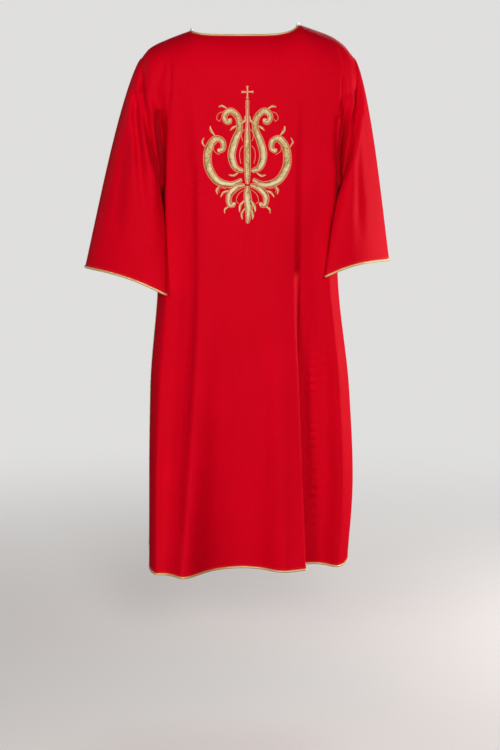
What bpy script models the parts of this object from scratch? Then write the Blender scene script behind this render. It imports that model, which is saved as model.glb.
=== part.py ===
"""Dalmatic: a knee-length vestment of smooth red cloth with gold piping, in its worn, hollow form.

Metres, Z up.  X points to the wearer's left, Y to the back.  The origin is at the base of the
neck opening, between the shoulders, where the wearer carries the garment.
"""
import math

import bpy
import numpy as np

# Driving dimensions
WALL = 0.0015               # cloth with its turned edges
SEAM_GAP = 0.0003           # between pieces that are sewn together
MITRE_LIMIT = 0.6           # the least cosine that a corner's mitre is worked out with
PIPING_RADIUS = 0.0025
LENGTH = 1.186              # shoulder to hem
BACK_LENGTH = 1.190
CHEST = -0.14               # height where the yoke ends and the sides begin
UNDERARM = -0.365           # height where front, back and sleeve meet
SLIT_TOP = -0.52            # the side seam is sewn from the underarm down to here
RIGHT_CORNER = 0.035        # radius of the rounded lower corners on each side
LEFT_CORNER = 0.085
CORNER_REACH = 0.20         # how far up the sides the rounding lifts the rows
NECK_HALF_WIDTH = 0.118
NECK_FRONT = 0.079          # from the shoulder line forward to the neckline
NECK_BACK = 0.070
NECK_SQUARENESS = 4.4       # exponent of the neckline's oval
SHOULDER_ROUND = 2.5        # exponent of the curve from the shoulder line down to the chest
EMBROIDERY_HEIGHT = 0.0012  # thickness of the stitched motif

# Places of the named columns across a panel: 0 is the middle and 1 the side edge
NECK_PLACE = 0.51
BROW_PLACE = 0.70
POCKET_PLACE = 0.82
RIDGE_PLACE = 0.91
FLANK_PLACE = 0.88
HALFWAY = 0.165             # share of the way from middle to brow depth that is reached halfway
RIDGE_SETBACK = 0.38        # share of the slit's setback that the ridge beside it takes

# Number of steps in each zone of the panels, from top to bottom
YOKE_STEPS = 6
ARMHOLE_STEPS = 7
UNDERARM_CROWDING = 1.25    # sections crowd towards the underarm
FLANK_STEPS = 2
FRONT_SKIRT_STEPS = 9
BACK_SKIRT_STEPS = 4
SLIT_STEP = 0.015           # the step in the side edges where the seam ends
SLIT_HEAD = 0.004           # the piping's ends stand this far below that step
FRONT_COLUMNS = 31
BACK_COLUMNS = 21
SLEEVE_STEPS = 8

# The shoulder line on each side, from the neck out to the top of the armhole, as rows of
# the distance out from the middle and the height
RIGHT_SHOULDER = (
    (0.118, -0.008),
    (0.164, -0.025),
    (0.209, -0.047),
    (0.226, -0.067),
)
LEFT_SHOULDER = (
    (0.118, 0.005),
    (0.153, -0.007),
    (0.187, -0.020),
    (0.213, -0.037),
    (0.237, -0.065),
)

# The sides of the front by height.  Each section runs from the brow, where the front turns
# away, into the pocket beside the arm, over the ridge and to the seam.  "out" is measured
# sideways from the middle and "fwd" forward from the shoulder line.
SIDE_COLUMNS = ("height", "brow_out", "brow_fwd", "pocket_out", "pocket_fwd",
                "ridge_out", "ridge_fwd", "seam_out", "seam_fwd")
RIGHT_SIDE = (
    (-0.140, 0.160, 0.112, 0.186, 0.103, 0.206, 0.096, 0.222, 0.080),
    (-0.180, 0.162, 0.111, 0.184, 0.092, 0.200, 0.107, 0.213, 0.096),
    (-0.220, 0.164, 0.105, 0.180, 0.062, 0.196, 0.104, 0.207, 0.098),
    (-0.260, 0.167, 0.101, 0.177, 0.048, 0.192, 0.097, 0.200, 0.094),
    (-0.310, 0.169, 0.098, 0.176, 0.044, 0.187, 0.070, 0.192, 0.067),
    (-0.345, 0.170, 0.096, 0.179, 0.046, 0.185, 0.042, 0.188, 0.037),
    (-0.365, 0.170, 0.095, 0.180, 0.048, 0.185, 0.016, 0.187, 0.000),
    (-0.460, 0.169, 0.090, 0.181, 0.056, 0.187, 0.027, 0.188, 0.000),
    (-0.580, 0.171, 0.092, 0.187, 0.060, 0.193, 0.032, 0.194, 0.002),
    (-0.800, 0.186, 0.104, 0.204, 0.072, 0.211, 0.044, 0.212, 0.012),
    (-1.000, 0.191, 0.138, 0.207, 0.108, 0.214, 0.074, 0.215, 0.034),
    (-1.190, 0.191, 0.176, 0.206, 0.152, 0.213, 0.112, 0.215, 0.066),
)
LEFT_SIDE = (
    (-0.140, 0.205, 0.108, 0.219, 0.101, 0.231, 0.094, 0.243, 0.078),
    (-0.180, 0.206, 0.107, 0.216, 0.095, 0.230, 0.104, 0.240, 0.092),
    (-0.220, 0.203, 0.104, 0.212, 0.066, 0.226, 0.104, 0.235, 0.096),
    (-0.260, 0.200, 0.100, 0.208, 0.050, 0.221, 0.097, 0.229, 0.092),
    (-0.310, 0.197, 0.097, 0.205, 0.042, 0.215, 0.077, 0.220, 0.073),
    (-0.345, 0.195, 0.094, 0.206, 0.042, 0.212, 0.043, 0.215, 0.040),
    (-0.365, 0.194, 0.092, 0.205, 0.048, 0.211, 0.016, 0.212, 0.000),
    (-0.460, 0.180, 0.088, 0.195, 0.060, 0.203, 0.029, 0.204, 0.000),
    (-0.550, 0.184, 0.090, 0.199, 0.062, 0.206, 0.032, 0.203, 0.001),
    (-0.800, 0.204, 0.098, 0.223, 0.074, 0.233, 0.042, 0.226, 0.006),
    (-1.000, 0.209, 0.106, 0.231, 0.084, 0.242, 0.052, 0.234, 0.014),
    (-1.190, 0.200, 0.110, 0.219, 0.092, 0.231, 0.060, 0.223, 0.022),
)

# The middle of the front by height: how far forward it stands, the trough on the wearer's
# right, the crest beside it, the hollow between, and the crest on the left, whose edge hangs
# over the cloth behind it by the overhang.
FRONT_FOLD_COLUMNS = ("height", "middle_fwd", "right_at", "right_drop", "right_crest",
                      "hollow", "left_crest", "left_at", "left_drop", "overhang")
FRONT_FOLDS = (
    (-0.140, 0.125, -0.124, 0.000, 0.000, 0.000, 0.000, 0.122, 0.000, 0.000),
    (-0.260, 0.126, -0.114, 0.008, 0.002, 0.000, 0.001, 0.116, 0.006, 0.000),
    (-0.420, 0.126, -0.111, 0.012, 0.004, 0.000, 0.003, 0.115, 0.010, 0.000),
    (-0.600, 0.125, -0.112, 0.014, 0.008, 0.002, 0.006, 0.114, 0.018, 0.002),
    (-0.760, 0.126, -0.120, 0.015, 0.017, 0.004, 0.011, 0.116, 0.028, 0.010),
    (-0.900, 0.127, -0.129, 0.015, 0.030, 0.007, 0.016, 0.118, 0.034, 0.015),
    (-1.050, 0.128, -0.138, 0.015, 0.045, 0.011, 0.023, 0.121, 0.038, 0.019),
    (-1.190, 0.128, -0.147, 0.014, 0.058, 0.015, 0.029, 0.125, 0.040, 0.021),
)
TROUGH_WIDTH = 0.013
CREST_BESIDE = 0.017        # from the right trough in to its crest
CREST_WIDTH = 0.044
HOLLOW_AT = -0.010
HOLLOW_WIDTH = 0.050
LEFT_CREST_BESIDE = 0.042
LEFT_CREST_WIDTH = 0.034
EDGE_WIDTH = 0.010          # half the width of the hanging fold's turn
FOLDS_WITHIN = 0.74         # place across where the long folds have faded out
FOLDS_FADE = 0.20

# The back by height, measured in from the side seam and back from the shoulder line
BACK_COLUMN_NAMES = ("height", "flank_in", "flank_back", "blade_in", "blade_back", "middle_back")
BACK = (
    (-0.140, 0.022, 0.098, 0.064, 0.116, 0.120),
    (-0.220, 0.014, 0.100, 0.050, 0.122, 0.130),
    (-0.300, 0.006, 0.086, 0.034, 0.118, 0.134),
    (-0.365, 0.002, 0.046, 0.026, 0.106, 0.134),
    (-0.460, 0.003, 0.044, 0.024, 0.102, 0.131),
    (-0.580, 0.003, 0.042, 0.024, 0.100, 0.130),
    (-0.800, 0.004, 0.046, 0.026, 0.106, 0.134),
    (-1.000, 0.004, 0.054, 0.027, 0.116, 0.141),
    (-1.190, 0.005, 0.064, 0.029, 0.128, 0.150),
)
BACK_SEAM_DEPTH = 0.95      # the back of the armhole is a little shallower than the front
# Soft flutes of the back: place across, depth at the hem, half width, and where they start
BACK_FLUTES = (
    (-0.128, 0.018, 0.026, -0.30),
    (-0.052, 0.012, 0.022, -0.48),
    (0.038, 0.020, 0.030, -0.26),
    (0.122, 0.014, 0.024, -0.42),
)

# Cuff openings seen from above, from the outer end round the front, as rows of the distance
# out and forward; "height" is the outer end's height, "slope" how much lower the rim lies
# for each metre further in, and "arch" how far it rises above that line in the middle
RIGHT_CUFF = {
    "height": -0.523,
    "slope": 0.285,
    "arch": 0.012,
    "rim": (
        (0.356, 0.000), (0.341, 0.052), (0.295, 0.092), (0.236, 0.112), (0.173, 0.112),
        (0.193, 0.060), (0.206, 0.000), (0.222, -0.064), (0.268, -0.098), (0.330, -0.066),
    ),
}
LEFT_CUFF = {
    "height": -0.507,
    "slope": 0.190,
    "arch": 0.012,
    "rim": (
        (0.321, 0.000), (0.310, 0.050), (0.276, 0.093), (0.228, 0.119), (0.175, 0.124),
        (0.204, 0.072), (0.216, 0.010), (0.232, -0.054), (0.262, -0.092), (0.306, -0.062),
    ),
}
INNER_RIM_POINT = 5         # the rim point under the underarm seam
RIM_STEPS = 16
SLEEVE_CROWDING = 1.15      # rings crowd towards the armhole
SWELL_NEAR_TOP = 0.55       # exponent that lays the fullest place nearer the armhole
SLEEVE_BULGE = 0.013        # fullness over the top of the arm
BULGE_OUT = 0.96            # its shares outward and upward
BULGE_UP = 0.28
FRONT_BULGE = 0.016
UNDER_BULGE = 0.004         # keeps the underside clear of the body beside it
TUCK = 0.0115               # the front inner edge is drawn in over the body by this much
TUCK_WITHIN = 0.238         # only cloth nearer the middle than this is drawn in
TUCK_BEYOND = 0.055         # and only cloth this far forward or more
TUCK_BELOW = -0.26          # and only from this height down
TUCK_FADE = 0.030
TUCK_NEAR_TOP = 0.6         # exponent that lays the deepest tuck nearer the armhole
# Soft troughs down the front of each sleeve, as rows of height, distance out and depth
RIGHT_SLEEVE_TROUGH = (
    (-0.090, 0.241, 0.000),
    (-0.126, 0.238, 0.006),
    (-0.179, 0.232, 0.010),
    (-0.264, 0.227, 0.010),
    (-0.349, 0.222, 0.007),
    (-0.460, 0.210, 0.000),
)
LEFT_SLEEVE_TROUGH = (
    (-0.180, 0.256, 0.000),
    (-0.260, 0.254, 0.004),
    (-0.360, 0.252, 0.006),
    (-0.470, 0.250, 0.000),
)
SLEEVE_TROUGH_WIDTH = 0.011
TROUGH_FADE = 0.04          # the trough has its full depth this far forward

# The embroidered motif in its own plane, in millimetres from its middle: a flared cross on a
# staff between scrolls, over a leaf.  Strokes run through points of (across, up, width).
MOTIF_AT = (0.0055, -0.275)
MILLIMETRE = 0.001
CROSS_AT = 134.0
CROSS_REACH = 13.0
CROSS_WAIST = 1.6
CROSS_FLARE = 3.6
STAFF = ((0, 117, 2.6), (0, 62, 3.4), (0, 40, 7.0), (0, 10, 9.0), (0, -40, 8.0), (0, -62, 2.5))
MIDDLE_LEAF = ((0, -66, 3.0), (0, -84, 11.0), (3, -112, 12.0), (0, -147, 1.6))
SIDE_STROKES = {
    "volute": ((12, -52, 3.5), (36, -63, 9.0), (66, -54, 12.0), (84, -24, 13.0),
               (84, 10, 12.5), (70, 34, 10.0), (54, 30, 8.0), (52, 14, 6.5), (62, 8, 5.5)),
    "scroll": ((9, -34, 4.0), (26, -26, 9.5), (34, 0, 12.0), (27, 30, 11.5), (17, 56, 9.0),
               (20, 80, 8.5), (36, 94, 9.0), (49, 84, 7.5), (44, 70, 6.0), (34, 73, 5.0)),
    "leaf": ((6, -64, 3.0), (24, -70, 8.5), (39, -86, 9.0), (38, -106, 6.5), (27, -106, 4.5)),
}
STROKE_STEPS = 3            # steps between a stroke's turning points


def smoothstep(value):
    """0 below 0, 1 above 1, and a soft rise between."""
    t = np.clip(value, 0.0, 1.0)
    return t * t * (3.0 - 2.0 * t)


def bell(value, middle, width):
    """A soft hump, 1 at its middle."""
    return np.exp(-((value - middle) / width) ** 2)


def curve_through(knots, values, at):
    """A smooth curve through the values that never swings past them."""
    knots = np.asarray(knots, float)
    values = np.asarray(values, float)
    at = np.clip(np.asarray(at, float), knots[0], knots[-1])
    gaps = np.diff(knots)
    rates = np.diff(values) / gaps
    slopes = np.zeros(len(knots))
    slopes[0] = rates[0]
    slopes[-1] = rates[-1]
    for i in range(1, len(knots) - 1):
        if rates[i - 1] * rates[i] > 0.0:
            before = 2.0 * gaps[i] + gaps[i - 1]
            after = gaps[i] + 2.0 * gaps[i - 1]
            slopes[i] = (before + after) / (before / rates[i - 1] + after / rates[i])
    place = np.clip(np.searchsorted(knots, at, side="right") - 1, 0, len(gaps) - 1)
    gap = gaps[place]
    t = (at - knots[place]) / gap
    return ((1 + 2 * t) * (1 - t) ** 2 * values[place] + t * (1 - t) ** 2 * gap * slopes[place]
            + t * t * (3 - 2 * t) * values[place + 1] + t * t * (t - 1) * gap * slopes[place + 1])


def row_at(table, names, height):
    """The table's named values at one height."""
    ordered = sorted(table)
    knots = [row[0] for row in ordered]
    return {name: float(curve_through(knots, [row[i] for row in ordered], height))
            for i, name in enumerate(names) if i > 0}


def slit_setback(height):
    """How far a panel's side edge stands back from the side seam's plane."""
    if height > SLIT_TOP - 0.5 * SLIT_STEP:
        return 0.0
    return 2.0 * PIPING_RADIUS + 4.0 * SEAM_GAP


def front_section(height, places):
    """X and Y of the front panel at one height, for places from -1 to 1 across it."""
    folds = row_at(FRONT_FOLDS, FRONT_FOLD_COLUMNS, height)
    knots = []
    for sign, table in ((-1.0, RIGHT_SIDE), (1.0, LEFT_SIDE)):
        side = row_at(table, SIDE_COLUMNS, height)
        setback = slit_setback(height)
        half = side["brow_out"] * 0.5
        half_fwd = folds["middle_fwd"] + (side["brow_fwd"] - folds["middle_fwd"]) * HALFWAY
        knots += [
            (sign, sign * side["seam_out"], max(side["seam_fwd"], setback)),
            (sign * RIDGE_PLACE, sign * side["ridge_out"],
             side["ridge_fwd"] + RIDGE_SETBACK * setback),
            (sign * POCKET_PLACE, sign * side["pocket_out"], side["pocket_fwd"]),
            (sign * BROW_PLACE, sign * side["brow_out"], side["brow_fwd"]),
            (sign * BROW_PLACE * 0.5, sign * half, half_fwd),
        ]
    knots.append((0.0, 0.0, folds["middle_fwd"]))
    knots.sort()
    at = [knot[0] for knot in knots]
    x = curve_through(at, [knot[1] for knot in knots], places)
    forward = curve_through(at, [knot[2] for knot in knots], places)
    return fold_front(folds, x, forward, places)


def fold_front(folds, x, forward, places):
    """Adds the front's long folds to one section, and leaves its sides as they are."""
    inside = smoothstep((FOLDS_WITHIN - np.abs(places)) / FOLDS_FADE)
    right = smoothstep((folds["right_at"] - x) / (2 * TROUGH_WIDTH) + 0.5)
    forward = forward - folds["right_drop"] * right * inside
    crest_at = folds["right_at"] + CREST_BESIDE
    forward = forward + folds["right_crest"] * bell(x, crest_at, CREST_WIDTH) * inside
    forward = forward - folds["hollow"] * bell(x, HOLLOW_AT, HOLLOW_WIDTH)
    crest_at = folds["left_at"] - LEFT_CREST_BESIDE
    forward = forward + folds["left_crest"] * bell(x, crest_at, LEFT_CREST_WIDTH)
    turn = (x - folds["left_at"]) / EDGE_WIDTH
    left = smoothstep(turn * 0.5 + 0.5)
    forward = forward - folds["left_drop"] * left * inside
    x = x + folds["overhang"] * (1.0 - 2.0 * left) * np.exp(-(turn / 3.0) ** 2)
    return x, -forward


def back_section(height, places):
    """X and Y of the back panel at one height."""
    back = row_at(BACK, BACK_COLUMN_NAMES, height)
    knots = []
    for sign, table in ((-1.0, RIGHT_SIDE), (1.0, LEFT_SIDE)):
        side = row_at(table, SIDE_COLUMNS, height)
        seam = side["seam_out"]
        above = smoothstep((height - UNDERARM) / 0.02)
        seam_back = max(BACK_SEAM_DEPTH * side["seam_fwd"] * above, slit_setback(height))
        blade = seam - back["blade_in"]
        knots += [
            (sign, sign * seam, seam_back),
            (sign * FLANK_PLACE, sign * (seam - back["flank_in"]), back["flank_back"]),
            (sign * BROW_PLACE, sign * blade, back["blade_back"]),
            (sign * BROW_PLACE * 0.5, sign * blade * 0.5,
             back["middle_back"] + (back["blade_back"] - back["middle_back"]) * HALFWAY),
        ]
    knots.append((0.0, 0.0, back["middle_back"]))
    knots.sort()
    at = [knot[0] for knot in knots]
    x = curve_through(at, [knot[1] for knot in knots], places)
    backward = curve_through(at, [knot[2] for knot in knots], places)
    for flute_at, depth, width, start in BACK_FLUTES:
        growth = smoothstep((start - height) / (start + BACK_LENGTH))
        spread = 1.0 + 0.25 * growth
        backward = backward - depth * growth * bell(x, flute_at * spread, width * spread)
    return x, backward


def shoulder_point(place):
    """Where a column meets the shoulder line, beyond the neck."""
    table = RIGHT_SHOULDER if place < 0 else LEFT_SHOULDER
    outs = [row[0] for row in table]
    reach = (abs(place) - NECK_PLACE) / (1.0 - NECK_PLACE)
    out = outs[0] + (outs[-1] - outs[0]) * max(reach, 0.0)
    height = float(curve_through(outs, [row[1] for row in table], out))
    return math.copysign(out, place), height


def neck_height(place):
    """Height of the shoulder line's run across the open neck, for a column under it."""
    middle = 0.5 * (RIGHT_SHOULDER[0][1] + LEFT_SHOULDER[0][1])
    edge = (RIGHT_SHOULDER if place < 0 else LEFT_SHOULDER)[0][1]
    return middle + (edge - middle) * smoothstep(abs(place) / NECK_PLACE)


def yoke_column(place, steps, chest_x, chest_depth, neck_depth):
    """One column from the shoulder line or the neckline down to the chest, front or back."""
    depth = abs(chest_depth)
    if abs(place) > NECK_PLACE:
        top_x, top_height = shoulder_point(place)
        start = 0.0
    else:
        turn = 0.5 * math.pi * place / NECK_PLACE
        power = 2.0 / NECK_SQUARENESS
        top_x = math.copysign(NECK_HALF_WIDTH * abs(math.sin(turn)) ** power, place)
        top_height = neck_height(place)
        reach = neck_depth * math.cos(turn) ** power
        start = math.asin((reach / depth) ** (SHOULDER_ROUND / 2.0))
    points = []
    for step in range(steps + 1):
        share = step / steps
        angle = start + (0.5 * math.pi - start) * share
        x = top_x + (chest_x - top_x) * smoothstep(share)
        y = depth * math.sin(angle) ** (2.0 / SHOULDER_ROUND)
        rise = max(math.cos(angle), 0.0) ** (2.0 / SHOULDER_ROUND)
        z = CHEST + (top_height - CHEST) * rise
        points.append((x, math.copysign(y, chest_depth), z))
    return points


def panel_heights(skirt_steps, hem):
    """Heights of a panel's sections from the chest to the hem."""
    left = np.linspace(1.0, 0.0, ARMHOLE_STEPS + 1) ** UNDERARM_CROWDING
    heights = list(UNDERARM + (CHEST - UNDERARM) * left)
    heights += list(np.linspace(UNDERARM, SLIT_TOP, FLANK_STEPS + 1))[1:]
    heights += list(np.linspace(SLIT_TOP - SLIT_STEP, hem, skirt_steps + 1))
    return heights


def panel_grid(section, places, skirt_steps, hem, neck_depth, yoke_steps=YOKE_STEPS):
    """A panel's outer points, by row from the top and column across."""
    chest_x, chest_y = section(CHEST, places)
    columns = [yoke_column(place, yoke_steps, x, y, neck_depth)
               for place, x, y in zip(places, chest_x, chest_y)]
    rows = [[column[row] for column in columns] for row in range(yoke_steps)]
    for height in panel_heights(skirt_steps, hem):
        x, y = section(height, places)
        rows.append([(x[i], y[i], height) for i in range(len(places))])
    return round_corners(np.array(rows), hem)


def round_corners(grid, hem):
    """Lifts the last rows near the sides, so that both lower corners are round."""
    hem_row = grid[-1]
    steps = np.linalg.norm(np.diff(hem_row[:, :2], axis=0), axis=1)
    along = np.concatenate(([0.0], np.cumsum(steps)))
    from_side = np.minimum(along, along[-1] - along)
    radius = np.where(hem_row[:, 0] < 0.0, RIGHT_CORNER, LEFT_CORNER)
    short = np.clip(radius - from_side, 0.0, radius)
    lift = radius - np.sqrt(radius ** 2 - short ** 2)
    fade = np.clip((hem + CORNER_REACH - grid[:, :, 2]) / CORNER_REACH, 0.0, 1.0) ** 2
    grid[:, :, 2] += fade * lift[None, :]
    return grid


def spread_places(count, dense_at, dense_width, density):
    """Column places from -1 to 1, closer together where the cloth turns sharply."""
    fine = np.linspace(-1.0, 1.0, 2001)
    weight = 1.0 + sum(d * bell(fine, at, dense_width) for at, d in zip(dense_at, density))
    total = np.concatenate(([0.0], np.cumsum(0.5 * (weight[1:] + weight[:-1]))))
    places = np.interp(np.linspace(0.0, total[-1], count), total, fine)
    for corner in (-NECK_PLACE, NECK_PLACE):
        places[np.argmin(np.abs(places - corner))] = corner
    return places


def front_grid():
    places = spread_places(FRONT_COLUMNS, (-0.86, 0.46, 0.86), 0.09, (0.9, 2.2, 0.9))
    return panel_grid(front_section, places, FRONT_SKIRT_STEPS, -LENGTH, NECK_FRONT), places


def back_grid():
    places = spread_places(BACK_COLUMNS, (-0.86, 0.86), 0.10, (0.6, 0.6))
    return panel_grid(back_section, places, BACK_SKIRT_STEPS, -BACK_LENGTH, NECK_BACK), places


def run_direction(grid, axis, ring):
    """Direction of the cloth along one axis of a grid, halfway between the steps that meet."""
    steps = np.diff(grid, axis=axis, append=grid[:, :1]) if ring else np.diff(grid, axis=axis)
    steps = steps / np.maximum(np.linalg.norm(steps, axis=2, keepdims=True), 1e-9)
    if ring:
        return steps + np.roll(steps, 1, axis=axis)
    first = np.take(steps, [0], axis=axis)
    last = np.take(steps, [-1], axis=axis)
    return np.concatenate((first, steps), axis=axis) + np.concatenate((steps, last), axis=axis)


def grid_normals(grid, outward_y, ring=False):
    """Unit normals of a grid of points, facing away from the wearer."""
    normals = np.cross(run_direction(grid, 1, ring), run_direction(grid, 0, False))
    normals /= np.maximum(np.linalg.norm(normals, axis=2, keepdims=True), 1e-9)
    if np.sum(normals[:, :, 1] * outward_y) < 0.0:
        normals = -normals
    return normals


def flat_at_seam(inward):
    """Inward directions turned into the plane of a seam that lies over the shoulder line."""
    flat = inward * (1.0, 0.0, 1.0)
    return flat / np.linalg.norm(flat, axis=-1, keepdims=True)


def share_directions(panel, column, ring, indices):
    """Gives a panel's edge and the sleeve sewn to it one inward direction at each point."""
    for row, index in enumerate(indices):
        together = panel[row, column] + ring[index]
        size = np.linalg.norm(together)
        if size > 0.8:
            panel[row, column] = ring[index] = together / size


def pull_back(grid, distance, row=None, column=None):
    """Moves one border row or column away from its seam, along the cloth."""
    if column is not None:
        edge, inner = grid[:, column], grid[:, 1 if column == 0 else -2]
    else:
        edge, inner = grid[row], grid[1 if row == 0 else -2]
    way = inner - edge
    way /= np.linalg.norm(way, axis=-1, keepdims=True)
    edge += way * distance


def material(name, color, roughness, metallic):
    made = bpy.data.materials.new(name)
    made.use_nodes = True
    shader = made.node_tree.nodes["Principled BSDF"]
    shader.inputs["Base Color"].default_value = (*color, 1.0)
    shader.inputs["Roughness"].default_value = roughness
    shader.inputs["Metallic"].default_value = metallic
    made.diffuse_color = (*color, 1.0)
    return made


def mesh_object(name, points, faces, finish):
    mesh = bpy.data.meshes.new(name)
    mesh.from_pydata([tuple(point) for point in points], [], faces)
    mesh.update()
    mesh.shade_smooth()
    mesh.materials.append(finish)
    made = bpy.data.objects.new(name, mesh)
    bpy.context.scene.collection.objects.link(made)
    return made


def wall_object(name, outer, inner, finish, ring=False):
    """A closed wall between an outer and an inner grid of points."""
    rows, columns = outer.shape[:2]
    count = rows * columns
    points = np.concatenate((outer.reshape(-1, 3), inner.reshape(-1, 3)))
    faces = []

    def corner(row, column):
        return row * columns + column % columns

    for row in range(rows - 1):
        for column in range(columns if ring else columns - 1):
            a, b = corner(row, column), corner(row + 1, column)
            c, d = corner(row + 1, column + 1), corner(row, column + 1)
            for triangle in ((a, b, c), (a, c, d)):
                faces.append(triangle)
                faces.append(tuple(count + i for i in reversed(triangle)))
    border = []
    for column in range(columns if ring else columns - 1):
        border.append((corner(0, column), corner(0, column + 1)))
        border.append((corner(rows - 1, column + 1), corner(rows - 1, column)))
    if not ring:
        for row in range(rows - 1):
            border.append((corner(row + 1, 0), corner(row, 0)))
            border.append((corner(row, columns - 1), corner(row + 1, columns - 1)))
    faces += [(a, b, b + count, a + count) for a, b in border]
    if volume(points, faces) < 0.0:
        faces = [tuple(reversed(face)) for face in faces]
    return mesh_object(name, points, faces, finish)


def volume(points, faces):
    """Signed volume of a closed mesh."""
    total = 0.0
    for face in faces:
        for i in range(1, len(face) - 1):
            a, b, c = points[face[0]], points[face[i]], points[face[i + 1]]
            total += float(np.dot(a, np.cross(b, c)))
    return total / 6.0


def panel_inward(grid, outward_y):
    """Inward directions of a front or back panel."""
    inward = -grid_normals(grid, outward_y)
    seam_rows = YOKE_STEPS + ARMHOLE_STEPS + FLANK_STEPS + 1
    shoulder = np.abs(grid[0, :, 1]) < 1e-6
    inward[0, shoulder] = flat_at_seam(inward[0, shoulder])
    for column in (0, -1):
        below = slice(YOKE_STEPS + ARMHOLE_STEPS, seam_rows)
        inward[below, column] = flat_at_seam(inward[below, column])
    return inward


def panel_wall(name, grid, inward, finish):
    """A front or back panel: its seams are pulled back and its wall goes inwards."""
    outer = grid.copy()
    pull_back(outer, 0.5 * SEAM_GAP, column=0)
    pull_back(outer, 0.5 * SEAM_GAP, column=-1)
    pull_back(outer, 0.5 * SEAM_GAP, row=0)
    return wall_object(name, outer, outer + WALL * inward, finish)


def armhole_ring(front, back, column):
    """The armhole from its top down the front seam, and up the back seam."""
    rows = YOKE_STEPS + ARMHOLE_STEPS + 1
    down = front[:rows, column]
    up = back[:rows, column][::-1]
    return np.concatenate((down, up[1:-1])), rows - 1


def share_along(points):
    """Each point's share of the way along a run of points."""
    steps = np.linalg.norm(np.diff(points, axis=0), axis=1)
    along = np.concatenate(([0.0], np.cumsum(steps)))
    return along / along[-1]


def rim_curve(cuff, sign, steps=RIM_STEPS):
    """The cuff's closed rim as a fine run of points, from the outer end round the front."""
    rim = cuff["rim"]
    count = len(rim)
    outer, inner = max(row[0] for row in rim), min(row[0] for row in rim)
    points = []
    for i in range(count):
        a, b, c, d = (np.array(rim[(i + k) % count]) for k in (-1, 0, 1, 2))
        for step in range(steps):
            t = step / steps
            out, forward = 0.5 * (2 * b + (c - a) * t + (2 * a - 5 * b + 4 * c - d) * t ** 2
                                  + (3 * b - a - 3 * c + d) * t ** 3)
            inward = np.clip((outer - out) / (outer - inner), 0.0, 1.0)
            height = cuff["height"] - cuff["slope"] * (outer - out)
            height += cuff["arch"] * 4.0 * inward * (1.0 - inward)
            points.append((sign * out, -forward, height))
    points.append(points[0])
    return np.array(points)


def cuff_ring(cuff, sign, shares_front, shares_back):
    """Points of the cuff that answer to the armhole's points."""
    fine = rim_curve(cuff, sign)
    inner = INNER_RIM_POINT * RIM_STEPS
    front, back = fine[:inner + 1], fine[inner:]
    ring = []
    for run, shares in ((front, shares_front), (back, shares_back)):
        along = share_along(run)
        ring.append(np.stack([np.interp(shares, along, run[:, i]) for i in range(3)], axis=1))
    return np.concatenate((ring[0], ring[1][1:-1]))


def sleeve_grid(front, back, sign, steps=SLEEVE_STEPS):
    """A sleeve's outer points: rings from the armhole to the cuff."""
    column = 0 if sign < 0 else -1
    armhole, underarm = armhole_ring(front, back, column)
    armhole[:, 0] += sign * SEAM_GAP
    cuff = RIGHT_CUFF if sign < 0 else LEFT_CUFF
    trough = RIGHT_SLEEVE_TROUGH if sign < 0 else LEFT_SLEEVE_TROUGH
    closed = np.concatenate((armhole, armhole[:1]))
    shares_front = share_along(closed[:underarm + 1])
    shares_back = share_along(closed[underarm:])
    hem = cuff_ring(cuff, sign, shares_front, shares_back)
    around = np.concatenate((0.5 * shares_front, 0.5 + 0.5 * shares_back[1:-1]))
    turn = 2.0 * math.pi * around
    top = np.maximum(np.cos(turn), 0.0)
    under = np.maximum(-np.cos(turn), 0.0)
    bulge = np.stack([sign * (BULGE_OUT * top * SLEEVE_BULGE + under * UNDER_BULGE),
                      -np.sin(turn) * FRONT_BULGE,
                      BULGE_UP * top * SLEEVE_BULGE], axis=1)
    rings = []
    for step in range(steps + 1):
        share = (step / steps) ** SLEEVE_CROWDING
        swell = math.sin(math.pi * share ** SWELL_NEAR_TOP)
        ring = armhole + (hem - armhole) * share + bulge * swell
        tuck_in(ring, sign, math.sin(math.pi * share ** TUCK_NEAR_TOP))
        rings.append(sink_trough(ring, trough, sign))
    return np.array(rings)


def tuck_in(ring, sign, amount):
    """Draws the front inner edge of one ring in over the body."""
    near = smoothstep((TUCK_WITHIN - sign * ring[:, 0]) / TUCK_FADE)
    forward = smoothstep((-ring[:, 1] - TUCK_BEYOND) / TUCK_FADE)
    low = smoothstep((TUCK_BELOW - ring[:, 2]) / (2.0 * TUCK_FADE))
    ring[:, 0] -= sign * TUCK * amount * near * forward * low


def sink_trough(ring, trough, sign):
    """Sinks the sleeve's front trough into one ring."""
    ordered = sorted(trough)
    knots = [row[0] for row in ordered]
    out = curve_through(knots, [row[1] for row in ordered], ring[:, 2])
    depth = curve_through(knots, [row[2] for row in ordered], ring[:, 2])
    in_front = smoothstep(-ring[:, 1] / TROUGH_FADE)
    sunk = ring.copy()
    sunk[:, 1] += depth * bell(sign * ring[:, 0], out, SLEEVE_TROUGH_WIDTH) * in_front
    return sunk


def sleeve_inward(grid):
    """Inward directions of a sleeve."""
    inward = -grid_normals(grid, 1.0, ring=True)
    middle = grid.mean(axis=1, keepdims=True)
    if np.sum(inward * (grid - middle)) > 0.0:
        inward = -inward
    inward[0, 0] = flat_at_seam(inward[0, 0])
    return inward


def sleeve_wall(name, grid, inward, finish):
    outer = grid.copy()
    pull_back(outer, SEAM_GAP, row=0)
    return wall_object(name, outer, outer + WALL * inward, finish, ring=True)


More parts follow.
